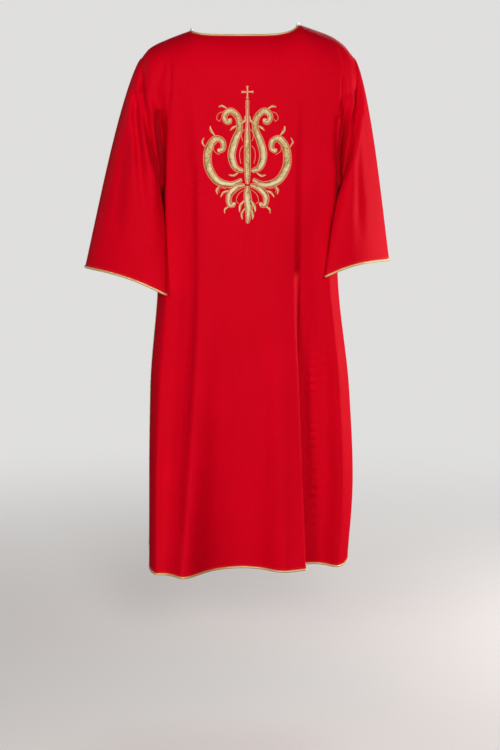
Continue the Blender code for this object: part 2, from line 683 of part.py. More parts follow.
def piping(name, path, closed, finish):
    """A round gold cord along a path."""
    curve = bpy.data.curves.new(name, "CURVE")
    curve.dimensions = "3D"
    curve.bevel_depth = PIPING_RADIUS
    curve.bevel_resolution = 1
    curve.use_fill_caps = not closed
    spline = curve.splines.new("POLY")
    spline.points.add(len(path) - 1)
    for point, place in zip(spline.points, path):
        point.co = (*place, 1.0)
    spline.use_cyclic_u = closed
    curve.materials.append(finish)
    made = bpy.data.objects.new(name, curve)
    bpy.context.scene.collection.objects.link(made)
    return made


def lay_beyond(edge, inner, outward, closed):
    """The middle line of piping laid just past a free edge, level with the wall's middle."""
    if closed:
        before, after = edge - np.roll(edge, 1, axis=0), np.roll(edge, -1, axis=0) - edge
    else:
        steps = np.diff(edge, axis=0)
        before, after = np.concatenate((steps[:1], steps)), np.concatenate((steps, steps[-1:]))
    before = before / np.linalg.norm(before, axis=1, keepdims=True)
    after = after / np.linalg.norm(after, axis=1, keepdims=True)
    tangent = before + after
    tangent /= np.linalg.norm(tangent, axis=1, keepdims=True)
    way = np.cross(tangent, outward)
    way *= np.sign(np.sum(way * (edge - inner), axis=1, keepdims=True))
    way /= np.linalg.norm(way, axis=1, keepdims=True)
    miter = 1.0 / np.maximum(np.sum(tangent * after, axis=1, keepdims=True), MITRE_LIMIT)
    reach = PIPING_RADIUS + 1.5 * SEAM_GAP
    return edge + way * reach * miter - outward * 0.5 * WALL


def hem_path(grid, outward_y):
    """Down one slit edge, along the hem with its round corners and up the other edge."""
    normals = grid_normals(grid, outward_y)
    first = YOKE_STEPS + ARMHOLE_STEPS + FLANK_STEPS + 1
    edge = np.concatenate((grid[first:, 0], grid[-1, 1:-1], grid[first:, -1][::-1]))
    outward = np.concatenate((normals[first:, 0], normals[-1, 1:-1], normals[first:, -1][::-1]))
    inner = np.concatenate((grid[first:, 1], grid[-2, 1:-1], grid[first:, -2][::-1]))
    inner[len(grid) - first - 1] = grid[-2, 1]
    inner[-(len(grid) - first)] = grid[-2, -2]
    path = lay_beyond(edge, inner, outward, False)
    path[0, 2] -= SLIT_HEAD
    path[-1, 2] -= SLIT_HEAD
    return path


def neck_path(front, back, front_places, back_places):
    """Round the neckline, along the front and back again."""
    runs = []
    for grid, places, outward_y in ((front, front_places, -1.0), (back, back_places, 1.0)):
        inside = np.abs(places) <= NECK_PLACE + 1e-6
        normals = grid_normals(grid, outward_y)
        runs.append((grid[0, inside], grid[1, inside], normals[0, inside]))
    edge, inner, outward = (np.concatenate((a, b[1:-1][::-1])) for a, b in zip(*runs))
    ends = (0, len(runs[0][0]) - 1)
    for end in ends:
        outward[end] = flat_at_seam(outward[end])
        inner[end] = edge[end] + (math.copysign(0.02, edge[end][0]), 0.0, 0.0)
    return lay_beyond(edge, inner, outward, True)


def front_surface(x, height):
    """A point of the front's outer surface over its middle, and the way out of it there."""
    def at(x, height):
        level = min(height, CHEST)
        side = row_at(RIGHT_SIDE if x < 0 else LEFT_SIDE, SIDE_COLUMNS, level)
        place = np.array([BROW_PLACE * x / side["brow_out"]])
        y = front_section(level, place)[1][0]
        if height > CHEST:
            rise = (height - CHEST) / (neck_height(place[0]) - CHEST)
            y *= (1.0 - rise ** SHOULDER_ROUND) ** (1.0 / SHOULDER_ROUND)
        return np.array([x, y, height])

    step = 0.002
    across = at(x + step, height) - at(x - step, height)
    up = at(x, height + step) - at(x, height - step)
    outward = np.cross(across, up)
    return at(x, height), outward / np.linalg.norm(outward)


def raised_plate(name, outline, faces, finish):
    """A thin plate over the front: its outline's points, moved out from the cloth."""
    low, high = [], []
    for across, up in outline:
        point, outward = front_surface(MOTIF_AT[0] + across * MILLIMETRE,
                                       MOTIF_AT[1] + up * MILLIMETRE)
        low.append(point + outward * SEAM_GAP)
        high.append(point + outward * (SEAM_GAP + EMBROIDERY_HEIGHT))
    count = len(outline)
    edges = [(a, b) for face in faces for a, b in zip(face, face[1:] + face[:1])]
    solid = [tuple(count + i for i in face) for face in faces]
    solid += [tuple(reversed(face)) for face in faces]
    solid += [(a, b, count + b, count + a) for a, b in edges if (b, a) not in edges]
    points = np.array(low + high)
    if volume(points, solid) < 0.0:
        solid = [tuple(reversed(face)) for face in solid]
    return mesh_object(name, points, solid, finish)


def stroke_outline(stroke, mirror, steps):
    """Both edges of a stroke that swells and tapers along a smooth curve."""
    count = len(stroke)
    middle = []
    for i in range(count - 1):
        a, b, c, d = (np.array(stroke[min(max(i + k, 0), count - 1)], float)
                      for k in (-1, 0, 1, 2))
        for step in range(steps + (i == count - 2)):
            t = step / steps
            middle.append(0.5 * (2 * b + (c - a) * t + (2 * a - 5 * b + 4 * c - d) * t ** 2
                                 + (3 * b - a - 3 * c + d) * t ** 3))
    middle = np.array(middle)
    along = np.gradient(middle[:, :2], axis=0)
    along /= np.linalg.norm(along, axis=1, keepdims=True)
    aside = np.stack([-along[:, 1], along[:, 0]], axis=1) * middle[:, 2:3] * 0.5
    edges = np.concatenate((middle[:, :2] + aside, middle[:, :2] - aside))
    return edges * (mirror, 1.0)


def stroke_plate(name, stroke, mirror, finish, steps=STROKE_STEPS):
    outline = stroke_outline(stroke, mirror, steps)
    count = len(outline) // 2
    faces = []
    for i in range(count - 1):
        faces += [(i, count + i, count + i + 1), (i, count + i + 1, i + 1)]
    return raised_plate(name, outline, faces, finish)


def cross_plate(name, finish):
    """A small cross whose four arms flare towards their ends."""
    outline = [(0.0, CROSS_AT)]
    for quarter in range(4):
        angle = 0.5 * math.pi * quarter
        for along, aside in ((CROSS_WAIST, -CROSS_WAIST), (CROSS_REACH, -CROSS_FLARE),
                             (CROSS_REACH, CROSS_FLARE)):
            outline.append((along * math.cos(angle) - aside * math.sin(angle),
                            CROSS_AT + along * math.sin(angle) + aside * math.cos(angle)))
    rim = len(outline) - 1
    faces = [(0, 1 + i, 1 + (i + 1) % rim) for i in range(rim)]
    return raised_plate(name, outline, faces, finish)


def build_motif(finish):
    """The embroidered motif on the chest, one plate for each worked shape."""
    cross_plate("motif_cross", finish)
    stroke_plate("motif_staff", STAFF, 1.0, finish)
    stroke_plate("motif_leaf_middle", MIDDLE_LEAF, 1.0, finish)
    for shape, stroke in SIDE_STROKES.items():
        for side, mirror in (("right", -1.0), ("left", 1.0)):
            stroke_plate("motif_%s_%s" % (shape, side), stroke, mirror, finish)


def build_bindings(front, back, front_places, back_places, sleeves, finish):
    """Gold piping round the neck, the cuffs and the open edges of both panels."""
    piping("neck_piping", neck_path(front, back, front_places, back_places), True, finish)
    for name, grid in zip(("cuff_piping_right", "cuff_piping_left"), sleeves):
        rim = lay_beyond(grid[-1], grid[-2], -sleeve_inward(grid)[-1], True)
        piping(name, rim, True, finish)
    piping("hem_piping_front", hem_path(front, -1.0), False, finish)
    piping("hem_piping_back", hem_path(back, 1.0), False, finish)


def main():
    for old in list(bpy.data.objects):
        bpy.data.objects.remove(old)
    red = [material(name, (0.60, 0.003, 0.012), 0.55, 0.0) for name in
           ("front_cloth", "back_cloth", "right_sleeve_cloth", "left_sleeve_cloth")]
    gold = material("gold_piping", (0.62, 0.40, 0.14), 0.38, 0.6)
    front, front_places = front_grid()
    back, back_places = back_grid()
    right = sleeve_grid(front, back, -1)
    left = sleeve_grid(front, back, 1)
    front_way, back_way = panel_inward(front, -1.0), panel_inward(back, 1.0)
    right_way, left_way = sleeve_inward(right), sleeve_inward(left)
    last = YOKE_STEPS + ARMHOLE_STEPS
    ring = right.shape[1]
    for column, way in ((0, right_way), (-1, left_way)):
        share_directions(front_way, column, way[0], range(last + 1))
        share_directions(back_way, column, way[0], [-row % ring for row in range(last + 1)])
    panel_wall("front_panel", front, front_way, red[0])
    panel_wall("back_panel", back, back_way, red[1])
    sleeve_wall("sleeve_right", right, right_way, red[2])
    sleeve_wall("sleeve_left", left, left_way, red[3])
    build_bindings(front, back, front_places, back_places, (right, left), gold)
    build_motif(material("gold_embroidery", (0.72, 0.60, 0.30), 0.45, 0.3))


main()
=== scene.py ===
import math
import bpy
import numpy as np
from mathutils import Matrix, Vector
from mathutils.bvhtree import BVHTree


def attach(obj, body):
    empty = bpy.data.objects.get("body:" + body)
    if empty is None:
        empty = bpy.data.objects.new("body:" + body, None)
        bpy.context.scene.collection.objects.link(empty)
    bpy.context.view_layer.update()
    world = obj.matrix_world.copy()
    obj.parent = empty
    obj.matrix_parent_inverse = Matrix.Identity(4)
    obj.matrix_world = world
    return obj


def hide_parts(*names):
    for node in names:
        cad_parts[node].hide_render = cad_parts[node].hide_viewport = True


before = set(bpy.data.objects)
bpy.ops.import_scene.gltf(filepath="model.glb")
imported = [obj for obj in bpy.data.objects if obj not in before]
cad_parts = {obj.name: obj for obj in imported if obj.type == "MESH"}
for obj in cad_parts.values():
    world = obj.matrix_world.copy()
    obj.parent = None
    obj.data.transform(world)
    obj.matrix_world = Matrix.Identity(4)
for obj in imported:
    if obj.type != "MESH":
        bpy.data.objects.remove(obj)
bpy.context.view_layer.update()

# X runs to the wearer's left, Y to the back and Z up; the origin is between the shoulders, at the neck's base

garment = {
    "wall": 0.0013,             # cloth with its turned edges
    "length": 1.186,            # shoulder to hem
    "backLength": 1.190,
    "chest": -0.14,             # where the yoke ends
    "underarm": -0.365,
    "slitTop": -0.52,
    "slitStep": 0.015,
    "slitSetback": 0.0062,
    "ridgeSetback": 0.38,       # share of the setback that the ridge beside the seam takes
    "seamSetback": 0.95,        # the back's seam beside the front's, above the underarm
    "rightCorner": 0.035, "leftCorner": 0.085,
    "cornerReach": 0.20,
    "neckHalfWidth": 0.118,
    "neckFront": 0.079,
    "neckBack": 0.070,
    "neckSquareness": 4.4,
    "shoulderRound": 2.5,
    "neckPlace": 0.51,          # places across a panel: 0 the middle, 1 the side seam
    "browPlace": 0.70,
    "pocketPlace": 0.82,
    "flankPlace": 0.88,
    "ridgePlace": 0.91,
    "halfway": 0.165,           # how far the cloth has turned halfway to the brow
    "armholeCrowding": 1.25,    # rows sit closer towards the underarm
    "underarmBlend": 0.02,
    "sharpEdge": 60.0,
}

steps = {"yoke": 34, "armhole": 62, "flank": 22, "frontSkirt": 104, "backSkirt": 84,
         "frontColumns": 171, "backColumns": 131, "sleeve": 84}

rightShoulder = ((0.118, -0.008), (0.164, -0.025), (0.209, -0.047), (0.226, -0.067))
leftShoulder = ((0.118, 0.005), (0.153, -0.007), (0.187, -0.020), (0.213, -0.037), (0.237, -0.065))

sideNames = ("height", "browOut", "browFwd", "pocketOut", "pocketFwd",
             "ridgeOut", "ridgeFwd", "seamOut", "seamFwd")
rightSide = (
    (-0.140, 0.160, 0.112, 0.186, 0.103, 0.206, 0.096, 0.222, 0.080),
    (-0.180, 0.162, 0.111, 0.184, 0.092, 0.200, 0.107, 0.213, 0.096),
    (-0.220, 0.164, 0.105, 0.180, 0.062, 0.196, 0.104, 0.207, 0.098),
    (-0.260, 0.167, 0.101, 0.177, 0.048, 0.192, 0.097, 0.200, 0.094),
    (-0.310, 0.169, 0.098, 0.176, 0.044, 0.187, 0.070, 0.192, 0.067),
    (-0.345, 0.170, 0.096, 0.179, 0.046, 0.185, 0.042, 0.188, 0.037),
    (-0.365, 0.170, 0.095, 0.180, 0.048, 0.185, 0.016, 0.187, 0.000),
    (-0.460, 0.169, 0.090, 0.181, 0.056, 0.187, 0.027, 0.188, 0.000),
    (-0.580, 0.171, 0.092, 0.187, 0.060, 0.193, 0.032, 0.194, 0.002),
    (-0.800, 0.186, 0.104, 0.204, 0.072, 0.211, 0.044, 0.212, 0.012),
    (-1.000, 0.191, 0.138, 0.207, 0.108, 0.214, 0.074, 0.215, 0.034),
    (-1.190, 0.191, 0.176, 0.206, 0.152, 0.213, 0.112, 0.215, 0.066),
)
leftSide = (
    (-0.140, 0.205, 0.108, 0.219, 0.101, 0.231, 0.094, 0.243, 0.078),
    (-0.180, 0.206, 0.107, 0.216, 0.095, 0.230, 0.104, 0.240, 0.092),
    (-0.220, 0.203, 0.104, 0.212, 0.066, 0.226, 0.104, 0.235, 0.096),
    (-0.260, 0.200, 0.100, 0.208, 0.050, 0.221, 0.097, 0.229, 0.092),
    (-0.310, 0.197, 0.097, 0.205, 0.042, 0.215, 0.077, 0.220, 0.073),
    (-0.345, 0.195, 0.094, 0.206, 0.042, 0.212, 0.043, 0.215, 0.040),
    (-0.365, 0.194, 0.092, 0.205, 0.048, 0.211, 0.016, 0.212, 0.000),
    (-0.460, 0.180, 0.088, 0.195, 0.060, 0.203, 0.029, 0.204, 0.000),
    (-0.550, 0.184, 0.090, 0.199, 0.062, 0.206, 0.032, 0.203, 0.001),
    (-0.800, 0.204, 0.098, 0.223, 0.074, 0.233, 0.042, 0.226, 0.006),
    (-1.000, 0.209, 0.106, 0.231, 0.084, 0.242, 0.052, 0.234, 0.014),
    (-1.190, 0.200, 0.110, 0.219, 0.092, 0.231, 0.060, 0.223, 0.022),
)

foldNames = ("height", "middleFwd", "rightAt", "rightDrop", "rightCrest",
             "hollow", "leftCrest", "leftAt", "leftDrop", "overhang")
frontFolds = (
    (-0.140, 0.125, -0.124, 0.000, 0.000, 0.000, 0.000, 0.122, 0.000, 0.000),
    (-0.260, 0.126, -0.114, 0.008, 0.002, 0.000, 0.001, 0.116, 0.006, 0.000),
    (-0.420, 0.126, -0.111, 0.012, 0.004, 0.000, 0.003, 0.115, 0.010, 0.000),
    (-0.600, 0.125, -0.112, 0.014, 0.008, 0.002, 0.006, 0.114, 0.018, 0.002),
    (-0.760, 0.126, -0.120, 0.015, 0.017, 0.004, 0.011, 0.116, 0.028, 0.010),
    (-0.900, 0.127, -0.129, 0.015, 0.030, 0.007, 0.016, 0.118, 0.034, 0.015),
    (-1.050, 0.128, -0.138, 0.015, 0.045, 0.011, 0.023, 0.121, 0.038, 0.019),
    (-1.190, 0.128, -0.147, 0.014, 0.058, 0.015, 0.029, 0.125, 0.040, 0.021),
)
foldShape = {"troughWidth": 0.013, "crestBeside": 0.017, "crestWidth": 0.044, "hollowAt": -0.010,
             "hollowWidth": 0.050, "leftCrestBeside": 0.042, "leftCrestWidth": 0.034, "edgeWidth": 0.010,
             "within": 0.04, "fade": 0.20, "overhangReach": 3.0}

backNames = ("height", "flankIn", "flankBack", "bladeIn", "bladeBack", "middleBack")
backRows = (
    (-0.140, 0.022, 0.098, 0.064, 0.116, 0.120),
    (-0.220, 0.014, 0.100, 0.050, 0.122, 0.130),
    (-0.300, 0.006, 0.086, 0.034, 0.118, 0.134),
    (-0.365, 0.002, 0.046, 0.026, 0.106, 0.134),
    (-0.460, 0.003, 0.044, 0.024, 0.102, 0.131),
    (-0.580, 0.003, 0.042, 0.024, 0.100, 0.130),
    (-0.800, 0.004, 0.046, 0.026, 0.106, 0.134),
    (-1.000, 0.004, 0.054, 0.027, 0.116, 0.141),
    (-1.190, 0.005, 0.064, 0.029, 0.128, 0.150),
)
# Back flutes: place across, depth at the hem, half width, where they start
backFlutes = ((-0.128, 0.018, 0.026, -0.30), (-0.052, 0.012, 0.022, -0.48),
              (0.038, 0.020, 0.030, -0.26), (0.122, 0.014, 0.024, -0.42))
fluteSpread = 0.25

rightSleeve = {
    "sign": -1, "height": -0.523, "slope": 0.285, "arch": 0.012,
    "rim": ((0.356, 0.000), (0.341, 0.052), (0.295, 0.092), (0.236, 0.112), (0.173, 0.112),
            (0.193, 0.060), (0.206, 0.000), (0.222, -0.064), (0.268, -0.098), (0.330, -0.066)),
    "trough": ((-0.090, 0.241, 0.000), (-0.126, 0.238, 0.006), (-0.179, 0.232, 0.010),
               (-0.264, 0.227, 0.010), (-0.349, 0.222, 0.007), (-0.460, 0.210, 0.000)),
}
leftSleeve = {
    "sign": 1, "height": -0.507, "slope": 0.190, "arch": 0.012,
    "rim": ((0.321, 0.000), (0.310, 0.050), (0.276, 0.093), (0.228, 0.119), (0.175, 0.124),
            (0.204, 0.072), (0.216, 0.010), (0.232, -0.054), (0.262, -0.092), (0.306, -0.062)),
    "trough": ((-0.180, 0.256, 0.000), (-0.260, 0.254, 0.004), (-0.360, 0.252, 0.006),
               (-0.470, 0.250, 0.000)),
}
sleeveShape = {"bulge": 0.013, "frontBulge": 0.016, "underBulge": 0.004, "bulgeOut": 0.96, "bulgeUp": 0.28,
               "swellNearTop": 0.55, "crowding": 1.15, "innerRimPoint": 5, "rimSteps": 24,
               "troughWidth": 0.011, "troughFade": 0.04,
               "tuck": 0.0115, "tuckWithin": 0.238, "tuckBeyond": 0.055, "tuckFade": 0.030,
               "tuckBelow": -0.26, "tuckNearTop": 0.6,
               "flute": 0.0032, "flutes": 7, "fluteTwist": 2.0, "fluteNearTop": 0.8, "fluteFade": 0.03}


def smooth(value):
    t = np.clip(value, 0.0, 1.0)
    return t * t * (3.0 - 2.0 * t)


def hump(value, middle, width):
    return np.exp(-((value - middle) / width) ** 2)


def unit(vectors):
    return vectors / np.maximum(np.linalg.norm(vectors, axis=-1, keepdims=True), 1e-9)


def distanceAlong(points):
    return np.concatenate(([0.0], np.cumsum(np.linalg.norm(np.diff(points, axis=0), axis=1))))


def shareAlong(points):
    along = distanceAlong(points)
    return along / along[-1]


def pickAlong(points, along, at):
    return np.stack([np.interp(at, along, points[:, i]) for i in range(points.shape[1])], axis=1)


def distanceAcross(grid, axis):
    # the distance from a grid's first row or column to each of its points
    gaps = np.linalg.norm(np.diff(grid, axis=axis), axis=2)
    start = np.zeros_like(np.take(gaps, [0], axis=axis))
    return np.concatenate((start, np.cumsum(gaps, axis=axis)), axis=axis)


def curveThrough(knots, values, at):
    # a smooth curve through the values that never swings past them
    knots = np.asarray(knots, float)
    values = np.asarray(values, float)
    at = np.clip(np.asarray(at, float), knots[0], knots[-1])
    gaps = np.diff(knots)
    rates = np.diff(values) / gaps
    slopes = np.zeros(len(knots))
    slopes[0], slopes[-1] = rates[0], rates[-1]
    for i in range(1, len(knots) - 1):
        if rates[i - 1] * rates[i] > 0.0:
            before, after = 2.0 * gaps[i] + gaps[i - 1], gaps[i] + 2.0 * gaps[i - 1]
            slopes[i] = (before + after) / (before / rates[i - 1] + after / rates[i])
    place = np.clip(np.searchsorted(knots, at, side="right") - 1, 0, len(gaps) - 1)
    gap = gaps[place]
    t = (at - knots[place]) / gap
    return ((1 + 2 * t) * (1 - t) ** 2 * values[place] + t * (1 - t) ** 2 * gap * slopes[place]
            + t * t * (3 - 2 * t) * values[place + 1] + t * t * (t - 1) * gap * slopes[place + 1])


def soften(values, reach):
    # evens out a run of values and keeps both of its ends
    kernel = np.exp(-(np.arange(-3 * reach, 3 * reach + 1) / reach) ** 2)
    pad = 3 * reach
    start = 2 * values[0] - values[1:pad + 1][::-1]
    end = 2 * values[-1] - values[-pad - 1:-1][::-1]
    return np.convolve(np.concatenate((start, values, end)), kernel / kernel.sum(), "valid")


fineHeights = np.arange(-1.19, -0.1375, 0.0025)      # hem to chest
evenedRows = 7


def fineTable(table, names, kept=()):
    ordered = sorted(table)
    knots = [row[0] for row in ordered]
    made = {}
    for i, name in enumerate(names[1:], 1):
        values = curveThrough(knots, [row[i] for row in ordered], fineHeights)
        made[name] = values if name in kept else soften(values, evenedRows)
    return made


def rowAt(table, height):
    return {name: float(np.interp(height, fineHeights, values)) for name, values in table.items()}


sides = {-1: fineTable(rightSide, sideNames, ("seamOut", "seamFwd")),
         1: fineTable(leftSide, sideNames, ("seamOut", "seamFwd"))}
folds = fineTable(frontFolds, foldNames)
backs = fineTable(backRows, backNames)


def slitSetback(height):
    return 0.0 if height > garment["slitTop"] - 0.5 * garment["slitStep"] else garment["slitSetback"]


def acrossSection(knots, places):
    knots.sort()
    at = [knot[0] for knot in knots]
    x = curveThrough(at, [knot[1] for knot in knots], places)
    y = curveThrough(at, [knot[2] for knot in knots], places)
    return x, y


def frontSection(height, places):
    # X and Y of the front at one height
    fold = rowAt(folds, height)
    brow = garment["browPlace"]
    knots = [(0.0, 0.0, fold["middleFwd"])]
    for sign in (-1, 1):
        side = rowAt(sides[sign], height)
        setback = slitSetback(height)
        halfFwd = fold["middleFwd"] + (side["browFwd"] - fold["middleFwd"]) * garment["halfway"]
        ridgeFwd = side["ridgeFwd"] + garment["ridgeSetback"] * setback
        knots += [(sign, sign * side["seamOut"], max(side["seamFwd"], setback)),
                  (sign * garment["ridgePlace"], sign * side["ridgeOut"], ridgeFwd),
                  (sign * garment["pocketPlace"], sign * side["pocketOut"], side["pocketFwd"]),
                  (sign * brow, sign * side["browOut"], side["browFwd"]),
                  (sign * brow * 0.5, sign * side["browOut"] * 0.5, halfFwd)]
    x, forward = acrossSection(knots, places)
    shape = foldShape
    inside = smooth((brow + shape["within"] - np.abs(places)) / shape["fade"])
    right = smooth((fold["rightAt"] - x) / (2 * shape["troughWidth"]) + 0.5)
    forward = forward - fold["rightDrop"] * right * inside
    crestAt = fold["rightAt"] + shape["crestBeside"]
    forward = forward + fold["rightCrest"] * hump(x, crestAt, shape["crestWidth"]) * inside
    forward = forward - fold["hollow"] * hump(x, shape["hollowAt"], shape["hollowWidth"])
    crestAt = fold["leftAt"] - shape["leftCrestBeside"]
    forward = forward + fold["leftCrest"] * hump(x, crestAt, shape["leftCrestWidth"])
    turn = (x - fold["leftAt"]) / shape["edgeWidth"]
    left = smooth(turn * 0.5 + 0.5)
    forward = forward - fold["leftDrop"] * left * inside
    x = x + fold["overhang"] * (1.0 - 2.0 * left) * np.exp(-(turn / shape["overhangReach"]) ** 2)
    return x, -forward


def backSection(height, places):
    # X and Y of the back at one height
    back = rowAt(backs, height)
    brow = garment["browPlace"]
    knots = [(0.0, 0.0, back["middleBack"])]
    for sign in (-1, 1):
        side = rowAt(sides[sign], height)
        seam = side["seamOut"]
        above = float(smooth((height - garment["underarm"]) / garment["underarmBlend"]))
        seamBack = max(garment["seamSetback"] * side["seamFwd"] * above, slitSetback(height))
        blade = seam - back["bladeIn"]
        halfBack = back["middleBack"] + (back["bladeBack"] - back["middleBack"]) * garment["halfway"]
        knots += [(sign, sign * seam, seamBack),
                  (sign * garment["flankPlace"], sign * (seam - back["flankIn"]), back["flankBack"]),
                  (sign * brow, sign * blade, back["bladeBack"]),
                  (sign * brow * 0.5, sign * blade * 0.5, halfBack)]
    x, backward = acrossSection(knots, places)
    for fluteAt, depth, width, start in backFlutes:
        growth = float(smooth((start - height) / (start + garment["backLength"])))
        spread = 1.0 + fluteSpread * growth
        backward = backward - depth * growth * hump(x, fluteAt * spread, width * spread)
    return x, backward


def yokeColumn(place, chestX, chestY, neckDepth):
    # one column from the shoulder line or the neckline down to the chest
    depth = abs(chestY)
    neckPlace = garment["neckPlace"]
    table = rightShoulder if place < 0 else leftShoulder
    outs = [row[0] for row in table]
    if abs(place) > neckPlace:
        out = outs[0] + (outs[-1] - outs[0]) * (abs(place) - neckPlace) / (1.0 - neckPlace)
        topX = math.copysign(out, place)
        topHeight = float(curveThrough(outs, [row[1] for row in table], out))
        start = 0.0
    else:
        turn = 0.5 * math.pi * place / neckPlace
        power = 2.0 / garment["neckSquareness"]
        topX = math.copysign(garment["neckHalfWidth"] * abs(math.sin(turn)) ** power, place)
        middle = 0.5 * (rightShoulder[0][1] + leftShoulder[0][1])
        topHeight = middle + (table[0][1] - middle) * float(smooth(abs(place) / neckPlace))
        start = math.asin((neckDepth * math.cos(turn) ** power / depth) ** (garment["shoulderRound"] / 2.0))
    share = np.linspace(0.0, 1.0, steps["yoke"] + 1)
    angle = start + (0.5 * math.pi - start) * share
    x = topX + (chestX - topX) * smooth(share)
    y = depth * np.sin(angle) ** (2.0 / garment["shoulderRound"])
    rise = np.maximum(np.cos(angle), 0.0) ** (2.0 / garment["shoulderRound"])
    z = garment["chest"] + (topHeight - garment["chest"]) * rise
    return np.stack([x, np.copysign(y, chestY), z], axis=1)


def panelGrid(section, places, skirtSteps, hem, neckDepth):
    # a panel's outer points, by row from the top and column across
    g = garment
    chestX, chestY = section(g["chest"], places)
    columns = [yokeColumn(place, x, y, neckDepth) for place, x, y in zip(places, chestX, chestY)]
    rows = list(np.array(columns).transpose(1, 0, 2)[:-1])
    left = np.linspace(1.0, 0.0, steps["armhole"] + 1) ** g["armholeCrowding"]
    heights = list(g["underarm"] + (g["chest"] - g["underarm"]) * left)
    heights += list(np.linspace(g["underarm"], g["slitTop"], steps["flank"] + 1))[1:]
    heights += list(np.linspace(g["slitTop"] - g["slitStep"], hem, skirtSteps + 1))
    for height in heights:
        x, y = section(height, places)
        rows.append(np.stack([x, y, np.full(len(places), height)], axis=1))
    grid = np.array(rows)
    along = distanceAlong(grid[-1, :, :2])
    radius = np.where(grid[-1, :, 0] < 0.0, g["rightCorner"], g["leftCorner"])
    short = np.clip(radius - np.minimum(along, along[-1] - along), 0.0, radius)
    lift = radius - np.sqrt(radius ** 2 - short ** 2)
    fade = np.clip((hem + g["cornerReach"] - grid[:, :, 2]) / g["cornerReach"], 0.0, 1.0) ** 2
    grid[:, :, 2] += fade * lift[None, :]
    return grid


# Where columns crowd, by place across and how much
crowding = {"width": 0.08,
            "front": ((-1.0, 1.0), (-0.86, 1.3), (-0.46, 0.6), (0.46, 1.8), (0.86, 1.3), (1.0, 1.0)),
            "back": ((-1.0, 1.2), (-0.86, 0.8), (0.86, 0.8), (1.0, 1.2))}


def spreadPlaces(count, crowded):
    # column places, closer together where the cloth turns sharply
    fine = np.linspace(-1.0, 1.0, 4001)
    weight = 1.0 + sum(density * hump(fine, at, crowding["width"]) for at, density in crowded)
    total = np.concatenate(([0.0], np.cumsum(0.5 * (weight[1:] + weight[:-1]))))
    places = np.interp(np.linspace(0.0, total[-1], count), total, fine)
    for corner in (-garment["neckPlace"], garment["neckPlace"]):
        places[np.argmin(np.abs(places - corner))] = corner
    return places


def armholeRing(front, back, column):
    rows = steps["yoke"] + steps["armhole"] + 1
    down, up = front[:rows, column], back[:rows, column][::-1]
    return np.concatenate((down, up[1:-1])), rows - 1


def throughPoints(points, count, closed=False):
    # a smooth run of points through the given ones
    points = np.asarray(points, float)
    total = len(points)
    made = []
    for i in range(total if closed else total - 1):
        a, b, c, d = (points[(i + k) % total] if closed else points[min(max(i + k, 0), total - 1)]
                      for k in (-1, 0, 1, 2))
        for step in range(count):
            t = step / count
            made.append(0.5 * (2 * b + (c - a) * t + (2 * a - 5 * b + 4 * c - d) * t ** 2
                               + (3 * b - a - 3 * c + d) * t ** 3))
    if not closed:
        made.append(points[-1])
    return np.array(made)


def cuffLine(sleeve, shares):
    # the cuff's points, one for each point of the armhole
    rim = throughPoints(sleeve["rim"], sleeveShape["rimSteps"], True)
    rim = np.concatenate((rim, rim[:1]))
    outer, innermost = max(row[0] for row in sleeve["rim"]), min(row[0] for row in sleeve["rim"])
    share = np.clip((outer - rim[:, 0]) / (outer - innermost), 0.0, 1.0)
    height = sleeve["height"] - sleeve["slope"] * (outer - rim[:, 0])
    height = height + sleeve["arch"] * 4.0 * share * (1.0 - share)
    rim = np.stack([sleeve["sign"] * rim[:, 0], -rim[:, 1], height], axis=1)
    inner = sleeveShape["innerRimPoint"] * sleeveShape["rimSteps"]
    front, back = (pickAlong(run, shareAlong(run), share)
                   for run, share in zip((rim[:inner + 1], rim[inner:]), shares))
    return np.concatenate((front, back[1:-1]))


def sleeveGrid(front, back, sleeve):
    # rings from the armhole to the cuff
    sign, shape = sleeve["sign"], sleeveShape
    armhole, underarm = armholeRing(front, back, 0 if sign < 0 else -1)
    closed = np.concatenate((armhole, armhole[:1]))
    shares = shareAlong(closed[:underarm + 1]), shareAlong(closed[underarm:])
    hem = cuffLine(sleeve, shares)
    turn = 2.0 * math.pi * np.concatenate((0.5 * shares[0], 0.5 + 0.5 * shares[1][1:-1]))
    top, under = np.maximum(np.cos(turn), 0.0), np.maximum(-np.cos(turn), 0.0)
    bulge = np.stack([sign * (shape["bulgeOut"] * top * shape["bulge"] + under * shape["underBulge"]),
                      -np.sin(turn) * shape["frontBulge"], shape["bulgeUp"] * top * shape["bulge"]], axis=1)
    rings = []
    for step in range(steps["sleeve"] + 1):
        share = (step / steps["sleeve"]) ** shape["crowding"]
        ring = armhole + (hem - armhole) * share + bulge * math.sin(math.pi * share ** shape["swellNearTop"])
        near = smooth((shape["tuckWithin"] - sign * ring[:, 0]) / shape["tuckFade"])
        near = near * smooth((-ring[:, 1] - shape["tuckBeyond"]) / shape["tuckFade"])
        near = near * smooth((shape["tuckBelow"] - ring[:, 2]) / (2.0 * shape["tuckFade"]))
        ring[:, 0] -= sign * shape["tuck"] * math.sin(math.pi * share ** shape["tuckNearTop"]) * near
        behind = smooth((ring[:, 1] + shape["fluteFade"]) / (2.0 * shape["fluteFade"]))
        behind = behind * math.sin(math.pi * share ** shape["fluteNearTop"])
        flute = shape["flute"] * behind * np.sin(shape["flutes"] * turn + shape["fluteTwist"] * share)
        away = unit((ring - ring.mean(axis=0)) * (1.0, 1.0, 0.0))
        rings.append(ring + away * flute[:, None])
    grid = np.array(rings)
    height, out, depth = np.array(sorted(sleeve["trough"])).T
    out, depth = (curveThrough(height, values, grid[:, :, 2]) for values in (out, depth))
    inFront = smooth(-grid[:, :, 1] / shape["troughFade"])
    grid[:, :, 1] += depth * hump(sign * grid[:, :, 0], out, shape["troughWidth"]) * inFront
    return grid


